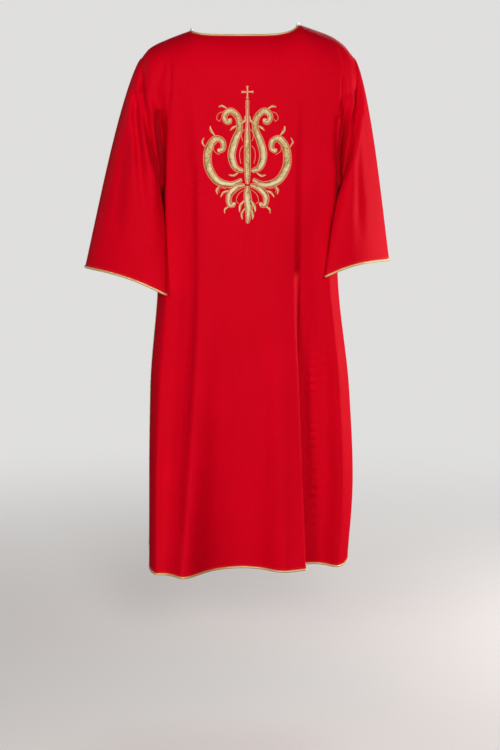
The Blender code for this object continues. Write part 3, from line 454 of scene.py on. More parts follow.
# Creases drawn over the form: the (X, Z) points of its line, its width, how far the cloth sinks, how far
# it rises beside the line, where it rises (towards the wearer's left), and whether it starts bluntly
frontCreases = (
    (((-0.2262, -0.066), (-0.2245, -0.100), (-0.223, -0.133), (-0.217, -0.186), (-0.209, -0.228),
      (-0.197, -0.278), (-0.188, -0.325)), 0.0052, 0.0090, 0.0040, -0.013, False),
    (((-0.160, -0.050), (-0.171, -0.080), (-0.182, -0.112), (-0.198, -0.162), (-0.211, -0.208)),
     0.010, 0.0035, 0.0015, -0.018, False),
    (((-0.157, -0.062), (-0.160, -0.092), (-0.161, -0.125), (-0.164, -0.165), (-0.168, -0.205)),
     0.0042, 0.0042, 0.0015, 0.010, False),
    (((-0.183, -0.178), (-0.1845, -0.205), (-0.185, -0.236), (-0.182, -0.279), (-0.183, -0.325)),
     0.0062, 0.0110, 0.0, 0.01, True),
    (((0.250, -0.105), (0.248, -0.141), (0.241, -0.205), (0.231, -0.254), (0.219, -0.311),
      (0.208, -0.350)), 0.0046, 0.0065, 0.0035, 0.011, False),
    (((0.241, -0.128), (0.236, -0.175), (0.228, -0.225), (0.217, -0.275), (0.210, -0.305)),
     0.0034, 0.0032, 0.0, 0.01, False),
    (((0.2025, -0.190), (0.200, -0.225), (0.199, -0.263), (0.201, -0.320)),
     0.0058, 0.0095, 0.0, 0.01, True),
    (((0.2075, -0.100), (0.2105, -0.135), (0.2085, -0.170), (0.2040, -0.196)),
     0.0034, 0.0034, 0.0012, 0.008, False),
    (((0.2470, -0.240), (0.245, -0.286), (0.244, -0.371), (0.246, -0.455)),
     0.0100, 0.0032, 0.0, 0.01, False),
    (((0.262, -0.150), (0.256, -0.230), (0.254, -0.300), (0.258, -0.400)),
     0.0080, -0.0035, 0.0, 0.01, False),
    (((0.196, -0.034), (0.205, -0.050), (0.213, -0.076)), 0.0030, 0.0018, 0.0010, 0.006, False),
    (((0.184, -0.038), (0.192, -0.056), (0.199, -0.082)), 0.0034, 0.0014, 0.0008, 0.006, False),
    (((0.2365, -0.080), (0.2395, -0.105), (0.2405, -0.135)), 0.0026, -0.0020, 0.0, 0.006, False),
    (((-0.240, -0.105), (-0.2375, -0.170), (-0.233, -0.235), (-0.226, -0.330)),
     0.0070, 0.0075, 0.0020, -0.014, False),
    (((-0.262, -0.200), (-0.268, -0.290), (-0.272, -0.380), (-0.280, -0.480)),
     0.0150, 0.0045, 0.0, 0.01, False),
    (((-0.112, -0.270), (-0.1115, -0.400), (-0.1115, -0.560), (-0.118, -0.740), (-0.130, -0.930),
      (-0.145, -1.170)), 0.0065, 0.0042, 0.0012, 0.016, True),
    (((-0.060, -0.620), (-0.066, -0.800), (-0.075, -1.000), (-0.085, -1.160)),
     0.020, 0.0030, 0.0, 0.01, False),
    (((0.040, -0.560), (0.044, -0.760), (0.052, -0.960), (0.060, -1.150)), 0.022, 0.0028, 0.0, 0.01, False),
    (((0.143, -0.640), (0.147, -0.800), (0.151, -0.980), (0.156, -1.160)), 0.010, 0.0100, 0.0, 0.01, False),
    (((0.176, -0.560), (0.180, -0.760), (0.186, -0.960), (0.186, -1.140)), 0.012, 0.0030, 0.0, 0.01, False),
)
dimples = {"x": 0.094, "lean": 0.003, "sway": 0.002, "top": -0.728, "bottom": -0.978, "count": 9,
           "reach": (0.006, 0.009), "width": 0.0032, "depth": 0.0014, "lift": 0.0006, "liftAt": 0.005}
backCreases = (
    (((-0.150, -0.060), (-0.172, -0.120), (-0.180, -0.190), (-0.176, -0.270)),
     0.011, 0.0050, 0.0020, -0.020, False),
    (((0.160, -0.055), (0.186, -0.115), (0.200, -0.185), (0.198, -0.265)),
     0.012, 0.0048, 0.0020, 0.020, False),
    (((-0.110, -0.200), (-0.145, -0.262), (-0.170, -0.320), (-0.178, -0.352)),
     0.008, 0.0036, 0.0018, 0.014, False),
    (((0.120, -0.215), (0.160, -0.275), (0.188, -0.325), (0.200, -0.350)),
     0.008, 0.0036, 0.0018, -0.014, False),
    (((-0.242, -0.120), (-0.246, -0.200), (-0.250, -0.300), (-0.258, -0.420)),
     0.010, 0.0060, 0.0020, 0.016, False),
    (((-0.286, -0.260), (-0.296, -0.360), (-0.306, -0.480)), 0.014, 0.0050, 0.0, 0.016, False),
    (((0.252, -0.130), (0.258, -0.220), (0.262, -0.320), (0.268, -0.430)),
     0.010, 0.0056, 0.0020, -0.016, False),
    (((-0.040, -0.075), (-0.046, -0.200), (-0.050, -0.360), (-0.052, -0.520)),
     0.018, 0.0030, 0.0, 0.016, False),
    (((0.046, -0.070), (0.044, -0.190), (0.040, -0.330), (0.038, -0.470)),
     0.020, 0.0034, 0.0, 0.016, False),
)


pressing = {"faces": 0.035, "blunt": 0.06, "taper": 0.30, "liftWidth": 1.4}


def pressCreases(grid, creases, facing):
    # sinks and lifts one side of the cloth along the creases; facing is -1 in front and 1 behind
    x, z = grid[:, :, 0].copy(), grid[:, :, 2].copy()
    inPlace = smooth(facing * grid[:, :, 1] / pressing["faces"])
    for line, width, depth, lift, liftAt, blunt in creases:
        path = throughPoints(line, 10)
        across, up = x[:, :, None] - path[:, 0], z[:, :, None] - path[:, 1]
        nearest = np.argmin(across ** 2 + up ** 2, axis=2)
        run = unit(np.gradient(path, axis=0))[nearest]
        off = np.stack([x, z], axis=2) - path[nearest]
        aside = run[:, :, 0] * off[:, :, 1] - run[:, :, 1] * off[:, :, 0]   # towards the wearer's left
        beyond = run[:, :, 0] * off[:, :, 0] + run[:, :, 1] * off[:, :, 1]
        share = shareAlong(path)[nearest]
        taper = smooth(share / pressing["blunt" if blunt else "taper"])
        taper = taper * smooth((1.0 - share) / pressing["taper"]) * np.exp(-(beyond / width) ** 2)
        change = lift * hump(aside, liftAt, pressing["liftWidth"] * width) - depth * hump(aside, 0.0, width)
        grid[:, :, 1] += facing * change * taper * inPlace
    return grid


def dimpleCreases():
    made = []
    for i in range(dimples["count"]):
        share = i / (dimples["count"] - 1)
        z = dimples["top"] + (dimples["bottom"] - dimples["top"]) * share
        x = dimples["x"] + dimples["lean"] * share + dimples["sway"] * math.sin(5.0 * i)
        out, up = dimples["reach"]
        depth = dimples["depth"] * (0.7 + 0.3 * math.sin(3.0 * i))
        made.append((((x - out, z + up), (x, z + 0.2 * up), (x + out, z - up)), dimples["width"], depth,
                     dimples["lift"], dimples["liftAt"], False))
    return made


# Ripples: two rates in turns of a metre, how far and how fast they sway, and where the second starts
puckering = {"panel": 0.00030, "sleeve": 0.00035, "reach": 0.010, "sideReach": 0.009, "held": 0.002,
             "across": (430.0, 1.7, 61.0, 263.0, 1.0), "down": (390.0, 1.9, 53.0, 247.0, 2.0)}


def ripple(distance, rates):
    fast, sway, slow, second, start = rates
    return np.sin(distance * fast + sway * np.sin(distance * slow)) + 0.6 * np.sin(distance * second + start)


def pucker(grid, amount, ring=False):
    # small uneven ripples beside the sewn edges
    down, across = distanceAcross(grid, 0), distanceAcross(grid, 1)
    toEnd = down[-1:] - down
    size = ripple(across, puckering["across"]) * np.exp(-toEnd / puckering["reach"])
    size = size * smooth(toEnd / puckering["held"])
    if not ring:
        side = np.minimum(across, across[:, -1:] - across)
        along = ripple(down, puckering["down"]) * np.exp(-side / puckering["sideReach"])
        size = size + along * smooth(side / puckering["held"])
    grid += gridNormals(grid, ring) * (amount * size)[:, :, None]
    return grid


def runDirection(grid, axis, ring):
    runs = np.diff(grid, axis=axis, append=grid[:, :1]) if ring else np.diff(grid, axis=axis)
    runs = unit(runs)
    if ring:
        return runs + np.roll(runs, 1, axis=axis)
    first, last = np.take(runs, [0], axis=axis), np.take(runs, [-1], axis=axis)
    return np.concatenate((first, runs), axis=axis) + np.concatenate((runs, last), axis=axis)


def gridNormals(grid, ring=False):
    # unit normals that face away from the wearer
    normals = unit(np.cross(runDirection(grid, 1, ring), runDirection(grid, 0, False)))
    middle = grid.mean(axis=1, keepdims=True) if ring else np.array((0.0, 0.0, -0.6))
    away = (grid - middle) * (1.0, 1.0, 0.0)
    return normals if np.sum(normals * away) > 0.0 else -normals


# Materials

class Value:
    def __init__(self, finish, socket):
        self.finish, self.socket = finish, socket

    def join(self, other, operation, swapped=False):
        first, second = (other, self) if swapped else (self, other)
        return self.finish.add("ShaderNodeMath", {"operation": operation}, {0: first, 1: second})

    def __add__(self, other):
        return self.join(other, "ADD")

    def __sub__(self, other):
        return self.join(other, "SUBTRACT")

    def __rsub__(self, other):
        return self.join(other, "SUBTRACT", True)

    def __mul__(self, other):
        return self.join(other, "MULTIPLY")

    def __pow__(self, other):
        return self.join(other, "POWER")

    __radd__ = __add__
    __rmul__ = __mul__

    def wave(self):
        return self.finish.add("ShaderNodeMath", {"operation": "SINE"}, {0: self})

    def ply(self):
        # 0 to 1 over each turn of a twisted thread
        return (self.wave() + 1.0) * 0.5

    def size(self):
        return self.finish.add("ShaderNodeMath", {"operation": "ABSOLUTE"}, {0: self})


class Finish:
    def __init__(self, name, constants):
        self.material = bpy.data.materials.new(name)
        self.material.use_nodes = True
        self.nodes = self.material.node_tree.nodes
        self.links = self.material.node_tree.links
        self.shader = self.nodes["Principled BSDF"]
        for key, value in constants.items():
            self.shader.inputs[key].default_value = value

    def add(self, kind, settings=None, values=None, output=0):
        node = self.nodes.new(kind)
        for key, value in (settings or {}).items():
            setattr(node, key, value)
        for key, value in (values or {}).items():
            if isinstance(value, Value):
                self.links.new(value.socket, node.inputs[key])
            else:
                node.inputs[key].default_value = value
        return Value(self, node.outputs[output])

    def along(self):
        # the thread map in metres: across and along the cloth
        place = self.add("ShaderNodeUVMap", {"uv_map": "thread"})
        return [self.add("ShaderNodeSeparateXYZ", None, {0: place}, i) for i in (0, 1)]

    def noise(self, across, up, rates, detail=3.0):
        at = self.add("ShaderNodeCombineXYZ", None, {0: across * rates[0], 1: up * rates[1]})
        return self.add("ShaderNodeTexNoise", {"noise_dimensions": "2D"},
                        {"Vector": at, "Scale": 1.0, "Detail": detail})

    def blend(self, low, high, factor):
        return self.add("ShaderNodeMix", {"data_type": "RGBA", "clamp_factor": True},
                        {0: factor, 6: low, 7: high}, 2)

    def finish(self, color, roughness, height, relief):
        self.links.new(color.socket, self.shader.inputs["Base Color"])
        self.links.new(roughness.socket, self.shader.inputs["Roughness"])
        normal = self.add("ShaderNodeBump", None,
                          {"Strength": relief["bump"], "Distance": relief["depth"], "Height": height})
        self.links.new(normal.socket, self.shader.inputs["Normal"])
        return self.material


# Rates are in turns or grains for each metre across and along the cloth
redCloth = {"thread": 0.0008, "slubAcross": (900.0, 42.0), "slubUp": (38.0, 900.0),
            "streak": (130.0, 5.0), "cloud": (9.0, 7.0), "bump": 0.45, "depth": 0.0004,
            "red": (0.70, 0.0003, 0.0125, 1), "deepRed": (0.56, 0.0002, 0.0085, 1),
            "brightRed": (0.78, 0.0006, 0.0170, 1), "sheen": (1.0, 0.22, 0.34, 1)}


def makeRedCloth():
    look = Finish("redCloth", {"Specular IOR Level": 0.02, "Sheen Weight": 0.04, "Sheen Roughness": 0.25,
                               "Sheen Tint": redCloth["sheen"], "Metallic": 0.0})
    u, v = look.along()
    turns = 2.0 * math.pi / redCloth["thread"]
    warp, weft = (u * turns).wave(), (v * turns).wave()
    slubAcross, slubUp, streak, cloud = (look.noise(u, v, redCloth[grain])
                                         for grain in ("slubAcross", "slubUp", "streak", "cloud"))
    weave = warp * weft * 0.5 + 0.5
    threads = slubAcross * 0.5 + slubUp * 0.5
    shade = 0.25 + weave * 0.18 + threads * 0.55 + (streak - 0.5) * 0.4
    cloth = look.blend(redCloth["deepRed"], redCloth["red"], shade)
    cloth = look.blend(cloth, redCloth["brightRed"], (cloud - 0.42) * 0.9)
    rough = 0.50 + threads * 0.10 + (streak - 0.5) * 0.10
    return look.finish(cloth, rough, weave * 0.6 + threads * 0.9, redCloth)


# The pale gold paints a highlight along each cord's outer side. The deep gold paints shade on its sides.
goldPiping = {"radius": 0.0026, "pitch": 0.0016, "lean": 420.0, "fine": (1400.0, 260.0), "worn": (22.0, 40.0),
              "bump": 0.55, "depth": 0.0003, "gold": (0.80, 0.42, 0.10, 1),
              "shadeGold": (0.32, 0.12, 0.018, 1), "highlightGold": (0.90, 0.70, 0.38, 1)}


def makeGoldPiping():
    look = Finish("goldPiping", {"Metallic": 0.35, "Specular IOR Level": 0.7, "Sheen Weight": 0.1,
                                 "Sheen Tint": (1.0, 0.85, 0.6, 1)})
    u, v = look.along()
    thread = (u * (2.0 * math.pi / goldPiping["pitch"]) + v * goldPiping["lean"]).ply()
    fine, worn = look.noise(u, v, goldPiping["fine"]), look.noise(u, v, goldPiping["worn"])
    # Painted light: the colour lightens towards the cord's outer side as a highlight and darkens towards its
    # sides as shade.
    litCrown = (v * (1.0 / goldPiping["radius"]) + 0.5 * math.pi).ply()      # 1 on the cord's outer side
    litCrown = litCrown * litCrown * litCrown
    shade = litCrown * 0.9 + thread * 0.25 + fine * 0.3 - 0.1
    gold = look.blend(goldPiping["shadeGold"], goldPiping["gold"], shade)
    # Noise breaks the painted highlight into patches; it is not wear.
    gold = look.blend(gold, goldPiping["highlightGold"], litCrown * (worn * 1.5 - 0.15) * (thread * 0.4 + 0.7))
    return look.finish(gold, 0.26 + fine * 0.16, thread + fine * 0.4, goldPiping)


# Across a satin stroke the map runs from 0 to 1, and along it in metres
# Pale, gold and olive run from the lit side of a stroke to its shaded side: painted light and shade. The
# white paints highlights.
satinStitch = {"pitch": 0.00042, "lean": 5.0, "grain": (3.0, 1500.0), "fleck": (5.0, 330.0),
               "patch": (1.5, 55.0), "bump": 0.6, "depth": 0.00025,
               "pale": (0.88, 0.72, 0.30, 1), "gold": (0.60, 0.40, 0.10, 1),
               "shadeOlive": (0.20, 0.12, 0.024, 1), "highlightWhite": (1.0, 0.95, 0.68, 1)}


def makeSatinStitch():
    look = Finish("satinStitch", {"Metallic": 0.30, "Specular IOR Level": 0.5, "Sheen Weight": 0.05})
    u, v = look.along()
    thread = (v * (2.0 * math.pi / satinStitch["pitch"]) + u * satinStitch["lean"]).ply()
    grain, fleck, patch = (look.noise(u, v, satinStitch[name], 2.0) for name in ("grain", "fleck", "patch"))
    # edge grows away from a line a third of the way across each stroke. The colour darkens with it towards
    # olive, which paints shade on one side, and white paints highlights on the other side, in patches.
    edge = ((u - 0.34).size() * 1.65) ** 1.6
    shaded = edge * 0.9 + (fleck - 0.46) * 2.6 + (patch - 0.5) * 1.6 + (0.5 - thread) * 0.3
    gold = look.blend(satinStitch["pale"], satinStitch["gold"], shaded + 0.12)
    shaded = edge * 0.75 + (fleck - 0.56) * 2.6 + (patch - 0.5) * 1.8 - 0.12
    gold = look.blend(gold, satinStitch["shadeOlive"], shaded)
    lit = (1.0 - edge) * ((grain - 0.42) * 1.6 + (0.55 - patch) * 2.4)
    gold = look.blend(gold, satinStitch["highlightWhite"], lit)
    return look.finish(gold, 0.30 + grain * 0.22, thread + grain * 0.5, satinStitch)


outlineCord = {"pitch": 0.0011, "lean": 900.0, "fine": (1800.0, 500.0), "bump": 0.5, "depth": 0.0002,
               "rose": (0.80, 0.42, 0.21, 1), "deep": (0.42, 0.19, 0.07, 1), "pale": (0.94, 0.66, 0.42, 1)}


def makeOutlineCord():
    look = Finish("outlineCord", {"Metallic": 0.35, "Specular IOR Level": 0.5})
    u, v = look.along()
    thread = (u * (2.0 * math.pi / outlineCord["pitch"]) + v * outlineCord["lean"]).ply()
    fine = look.noise(u, v, outlineCord["fine"], 2.0)
    rose = look.blend(outlineCord["deep"], outlineCord["rose"], thread * 0.5 + fine * 0.7)
    rose = look.blend(rose, outlineCord["pale"], thread * fine * 0.9)
    return look.finish(rose, 0.32 + fine * 0.2, thread + fine * 0.3, outlineCord)


redThread = {"ply": (9000.0, 2000.0), "fine": (2500.0, 2500.0), "bump": 0.4, "depth": 0.0001,
             "deep": (0.42, 0.001, 0.008, 1), "bright": (0.78, 0.006, 0.026, 1), "sheen": (1.0, 0.4, 0.5, 1)}


def makeRedThread():
    look = Finish("redThread", {"Specular IOR Level": 0.35, "Sheen Weight": 0.2,
                                "Sheen Tint": redThread["sheen"]})
    u, v = look.along()
    ply = (u * redThread["ply"][0] + v * redThread["ply"][1]).ply()
    fine = look.noise(u, v, redThread["fine"], 2.0)
    red = look.blend(redThread["deep"], redThread["bright"], ply * 0.6 + fine * 0.4)
    return look.finish(red, 0.36 + fine * 0.2, ply, redThread)


# Mesh making

def placed(name, data):
    made = bpy.data.objects.new(name, data)
    bpy.context.scene.collection.objects.link(made)
    return made


def meshPiece(name, points, quads, uvs, finish, slot, sharp=80.0):
    # quads index the points; uvs has one pair for each corner of each quad
    quads = np.asarray(quads, np.int32)
    mesh = bpy.data.meshes.new(name)
    mesh.vertices.add(len(points))
    mesh.vertices.foreach_set("co", np.asarray(points, np.float32).ravel())
    mesh.loops.add(quads.size)
    mesh.loops.foreach_set("vertex_index", quads.ravel())
    mesh.polygons.add(len(quads))
    mesh.polygons.foreach_set("loop_start", np.arange(len(quads), dtype=np.int32) * 4)
    mesh.update(calc_edges=True)
    layer = mesh.uv_layers.new(name="thread")
    layer.uv.foreach_set("vector", np.asarray(uvs, np.float32).ravel())
    mesh.validate()
    mesh.shade_smooth()
    mesh.set_sharp_from_angle(angle=math.radians(sharp))
    mesh.materials.append(finish)
    made = placed(name, mesh)
    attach(made, "root")
    return made


def gridQuads(rows, columns, ring=False):
    columns = columns if ring else columns - 1
    row, column = np.meshgrid(np.arange(rows - 1), np.arange(columns), indexing="ij")
    r = np.stack([row, row + 1, row + 1, row], axis=2).reshape(-1, 4)
    c = np.stack([column, column, column + 1, column + 1], axis=2).reshape(-1, 4)
    return r, c


def threadMap(grid, ring):
    # distances in metres across and down the cloth, from its middle
    wide = np.concatenate((grid, grid[:, :1]), axis=1) if ring else grid
    across = distanceAcross(wide, 1)
    middle = grid.shape[1] // 2
    return np.stack([across - across[:, middle:middle + 1], -distanceAcross(wide, 0)], axis=2)


def facingOut(points, quads, uvs):
    # turns every face over if the closed mesh is inside out
    a, b, c, d = (points[quads[:, i]] for i in range(4))
    volume = np.sum(a * np.cross(b, c)) + np.sum(a * np.cross(c, d))
    return (points, quads, uvs) if volume >= 0.0 else (points, quads[:, ::-1], uvs[:, ::-1])


def shellPiece(name, grid, finish, slot, ring=False):
    # a thin wall of cloth whose outer side is the grid
    rows, columns = grid.shape[:2]
    count = rows * columns
    inner = grid - garment["wall"] * gridNormals(grid, ring)
    points = np.concatenate((grid.reshape(-1, 3), inner.reshape(-1, 3)))
    r, c = gridQuads(rows, columns, ring)
    thread = threadMap(grid, ring)
    faces = r * columns + c % columns
    quads = [faces, faces[:, ::-1] + count]
    uvs = [thread[r, c], thread[r, c][:, ::-1]]
    borders = [(np.zeros(columns, int), np.arange(columns)),
               (np.full(columns, rows - 1), np.arange(columns)[::-1])]
    if ring:
        borders = [(np.append(rr, rr[0]), np.append(cc, cc[0] + (columns if k == 0 else -columns)))
                   for k, (rr, cc) in enumerate(borders)]
    else:
        borders += [(np.arange(rows)[::-1], np.zeros(rows, int)),
                    (np.arange(rows), np.full(rows, columns - 1))]
    for rr, cc in borders:
        a, b = rr[:-1] * columns + cc[:-1] % columns, rr[1:] * columns + cc[1:] % columns
        quads.append(np.stack([a, b, b + count, a + count], axis=1))
        ua, ub = thread[rr[:-1], cc[:-1] % thread.shape[1]], thread[rr[1:], cc[1:] % thread.shape[1]]
        uvs.append(np.stack([ua, ub, ub + garment["wall"], ua + garment["wall"]], axis=1))
    shell = facingOut(points, np.concatenate(quads), np.concatenate(uvs))
    return meshPiece(name, *shell, finish, slot, garment["sharpEdge"])


def tube(path, closed, radius, around, outward):
    # a cord along a path
    path = np.asarray(path, float)
    count = len(path)
    if closed:
        tangent = unit(np.roll(path, -1, axis=0) - np.roll(path, 1, axis=0))
    else:
        tangent = unit(np.gradient(path, axis=0))
    out = unit(outward - tangent * np.sum(outward * tangent, axis=1, keepdims=True))
    side = np.cross(tangent, out)
    angle = 2.0 * math.pi * np.arange(around) / around
    rings = path[:, None] + radius * (np.cos(angle)[None, :, None] * out[:, None]
                                      + np.sin(angle)[None, :, None] * side[:, None])
    along = distanceAlong(np.concatenate((path, path[:1])))
    rows = count + 1 if closed else count
    r, c = gridQuads(rows, around, True)
    quads = (r % count) * around + c % around
    turn = np.arange(around + 1) / around * 2.0 * math.pi * radius
    uvs = np.stack([along[r], turn[c]], axis=2)
    points = rings.reshape(-1, 3)
    if not closed:                            # both ends close on a small cap
        caps = []
        for row, flip in ((0, 1), (count - 1, -1)):
            ring = np.arange(around) + row * around
            ring = ring[::flip]
            for i in range(1, around - 1, 2):
                caps.append((ring[0], ring[i], ring[i + 1], ring[(i + 2) % around]))
        caps = np.array(caps)
        caps = caps[[len(set(cap)) == 4 for cap in caps.tolist()]]
        quads = np.concatenate((quads, caps))
        uvs = np.concatenate((uvs, np.repeat(uvs[:1], len(caps), axis=0)))
    return facingOut(points, quads, uvs)


def joined(parts):
    points, quads, uvs = zip(*parts)
    starts = np.cumsum([0] + [len(p) for p in points[:-1]])
    return np.concatenate(points), np.concatenate([q + n for q, n in zip(quads, starts)]), np.concatenate(uvs)


def evenPath(path, spacing, *others):
    # the path and its companions at even steps
    along = distanceAlong(path)
    at = np.linspace(0.0, along[-1], max(int(along[-1] / spacing), 3) + 1)
    return [pickAlong(run, along, at) for run in (path, *others)]


stitching = {"pitch": 0.0036, "length": 0.0025, "radius": 0.00034, "inset": 0.0045, "around": 6}


def stitchPiece(name, path, outward, finish):
    # a row of stitches, each a short thread that dips into the cloth at both ends
    path, outward = evenPath(path, stitching["pitch"], outward)
    outward = unit(outward)
    parts = []
    share = np.linspace(-0.5, 0.5, 5)
    for a, b, out in zip(path[:-1], path[1:], outward[:-1]):
        middle, way = 0.5 * (a + b), (b - a) * stitching["length"] / stitching["pitch"]
        rise = stitching["radius"] * (1.0 - 8.0 * share ** 2 * np.abs(share))
        run = middle + share[:, None] * way + out * rise[:, None]
        parts.append(tube(run, False, stitching["radius"], stitching["around"], np.tile(out, (5, 1))))
    return meshPiece(name, *joined(parts), finish, "red_cloth")


print("stage: camera and lights")
view = {"at": (0.011, -4.0, -0.15), "down": 8.84, "lens": 86.06, "sensor": 36.0}
cameraData = bpy.data.cameras.new("camera")
cameraData.lens, cameraData.sensor_width = view["lens"], view["sensor"]
camera = placed("camera", cameraData)
camera.location = view["at"]
camera.rotation_euler = (math.radians(90.0 - view["down"]), 0.0, 0.0)
bpy.context.scene.camera = camera
bpy.context.scene.view_settings.view_transform = "Standard"

lamps = {
    "key": {"at": (0.45, -3.9, 0.2), "to": (0.0, 0.0, -0.55), "size": 0.8, "power": 94.0,
            "tone": (1.0, 0.985, 0.965)},
    "fill": {"at": (-1.8, -3.5, 0.1), "to": (-0.1, 0.0, -0.5), "size": 1.0, "power": 52.0,
             "tone": (1.0, 0.98, 0.97)},
    "rimRight": {"at": (2.4, 0.55, -0.5), "to": (0.1, 0.0, -0.7), "size": 0.5, "power": 60.0,
                 "tone": (1.0, 0.95, 0.95)},
    "rimLeft": {"at": (-2.4, 1.4, 0.3), "to": (-0.1, 0.0, -0.6), "size": 1.0, "power": 6.0,
                "tone": (1.0, 0.97, 0.96)},
    "behind": {"at": (0.6, 3.6, 0.9), "to": (0.0, 0.0, -0.6), "size": 1.6, "power": 46.0,
               "tone": (1.0, 0.98, 0.97)},
}
surround = {"Color": (1.0, 0.985, 0.97, 1.0), "Strength": 0.05}
for name, lamp in lamps.items():
    data = bpy.data.lights.new(name, "AREA")
    data.shape, data.size, data.energy, data.color = "DISK", lamp["size"], lamp["power"], lamp["tone"]
    light = placed(name, data)
    light.location = lamp["at"]
    light.rotation_euler = (Vector(lamp["to"]) - Vector(lamp["at"])).to_track_quat("-Z", "Y").to_euler()
    light.visible_camera = False
world = bpy.data.worlds.new("studio")
world.use_nodes = True
for key, value in surround.items():
    world.node_tree.nodes["Background"].inputs[key].default_value = value
bpy.context.scene.world = world

print("stage: floor")
studio = {"floor": -1.50, "flat": 9.0, "rise": 9.0, "high": 9.0, "turns": 96, "inmost": 0.02,
          "flatRings": 24, "riseRings": 16, "topRings": 8, "grain": 3.0,
          "pale": (0.80, 0.79, 0.775, 1), "mottled": (0.775, 0.765, 0.75, 1), "glow": (0.74, 0.735, 0.725, 1),
          "black": (0.0, 0.0, 0.0, 1), "from": 0.5, "to": 3.0}


def paleSurround():
    # a level floor that curves up far away into a pale surround
    profile = [(r, 0.0) for r in np.linspace(studio["inmost"], studio["flat"], studio["flatRings"])]
    quarter = 0.5 * math.pi
    profile += [(studio["flat"] + studio["rise"] * math.sin(a), studio["high"] * (1.0 - math.cos(a)))
                for a in np.linspace(0.0, quarter, studio["riseRings"] + 1)[1:]]
    top = profile[-1]
    profile += [(top[0] * math.cos(a), top[1] + studio["high"] * math.sin(a))
                for a in np.linspace(0.0, quarter, studio["topRings"] + 1)[1:]]
    angle = 2.0 * math.pi * np.arange(studio["turns"]) / studio["turns"]
    points = [(r * math.cos(a), r * math.sin(a), studio["floor"] + z) for r, z in profile for a in angle]
    r, c = gridQuads(len(profile), studio["turns"], True)
    mesh = bpy.data.meshes.new("paleFloor")
    mesh.from_pydata(points + [(0.0, 0.0, studio["floor"])], [],
                     (r * studio["turns"] + c % studio["turns"]).tolist()
                     + [(len(points), i, (i + 1) % studio["turns"]) for i in range(studio["turns"])])
    mesh.shade_smooth()
    floor = placed("paleFloor", mesh)
    floor.visible_diffuse = floor.visible_glossy = floor.visible_shadow = False
    paint = Finish("paleFloor", {"Specular IOR Level": 0.0, "Emission Strength": 1.0, "Roughness": 0.9})
    spot = paint.add("ShaderNodeTexCoord", None, None, 3)
    x, y = (paint.add("ShaderNodeSeparateXYZ", None, {0: spot}, i) for i in (0, 1))
    far = (x * x + y * y) ** 0.5
    share = paint.add("ShaderNodeMapRange", {"interpolation_type": "SMOOTHSTEP"},
                      {0: far, 1: studio["from"], 2: studio["to"]})
    mottle = paint.add("ShaderNodeTexNoise", None, {"Vector": spot, "Scale": studio["grain"], "Detail": 3.0})
    pale = paint.blend(studio["pale"], studio["mottled"], mottle)
    base = paint.blend(pale, studio["black"], share)
    glow = paint.blend(studio["black"], studio["glow"], share)
    paint.links.new(base.socket, paint.shader.inputs["Base Color"])
    paint.links.new(glow.socket, paint.shader.inputs["Emission Color"])
    mesh.materials.append(paint.material)


paleSurround()

print("stage: cloth")
frontPlaces = spreadPlaces(steps["frontColumns"], crowding["front"])
backPlaces = spreadPlaces(steps["backColumns"], crowding["back"])
frontForm = panelGrid(frontSection, frontPlaces, steps["frontSkirt"],
                      -garment["length"], garment["neckFront"])
backForm = panelGrid(backSection, backPlaces, steps["backSkirt"],
                     -garment["backLength"], garment["neckBack"])
rightForm = sleeveGrid(frontForm, backForm, rightSleeve)
leftForm = sleeveGrid(frontForm, backForm, leftSleeve)
for form in (frontForm, rightForm, leftForm):
    pressCreases(form, frontCreases, -1)
pressCreases(frontForm, dimpleCreases(), -1)
for form in (backForm, rightForm, leftForm):
    pressCreases(form, backCreases, 1)
for form in (frontForm, backForm):
    pucker(form, puckering["panel"])
for form in (rightForm, leftForm):
    pucker(form, puckering["sleeve"], True)

red = makeRedCloth()
front = shellPiece("frontPanel", frontForm, red, "red_cloth")
back = shellPiece("backPanel", backForm, red, "red_cloth")
right = shellPiece("sleeveRight", rightForm, red, "red_cloth", True)
left = shellPiece("sleeveLeft", leftForm, red, "red_cloth", True)
for piece, node in ((front, "front_panel"), (back, "back_panel"),
                    (right, "sleeve_right"), (left, "sleeve_left")):
    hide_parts(node)

print("stage: piping")
piping = {"reach": 0.0018, "spacing": 0.0030, "around": 14, "miter": 0.6, "aside": 0.02}


def layBeyond(edge, inner, outward, closed, reach, sink):
    # a path beside a free edge, in the cloth's plane
    if closed:
        before, after = edge - np.roll(edge, 1, axis=0), np.roll(edge, -1, axis=0) - edge
    else:
        runs = np.diff(edge, axis=0)
        before, after = np.concatenate((runs[:1], runs)), np.concatenate((runs, runs[-1:]))
    before, after = unit(before), unit(after)
    tangent = unit(before + after)
    way = np.cross(tangent, outward)
    way = unit(way * np.sign(np.sum(way * (edge - inner), axis=1, keepdims=True)))
    miter = 1.0 / np.maximum(np.sum(tangent * after, axis=1, keepdims=True), piping["miter"])
    return edge + way * reach * miter - outward * sink


def hemEdge(grid):
    normals = gridNormals(grid)
    first = steps["yoke"] + steps["armhole"] + steps["flank"] + 1
    edge = np.concatenate((grid[first:, 0], grid[-1, 1:-1], grid[first:, -1][::-1]))
    outward = np.concatenate((normals[first:, 0], normals[-1, 1:-1], normals[first:, -1][::-1]))
    inner = np.concatenate((grid[first:, 1], grid[-2, 1:-1], grid[first:, -2][::-1]))
    inner[len(grid) - first - 1] = grid[-2, 1]
    inner[-(len(grid) - first)] = grid[-2, -2]
    return edge, inner, outward


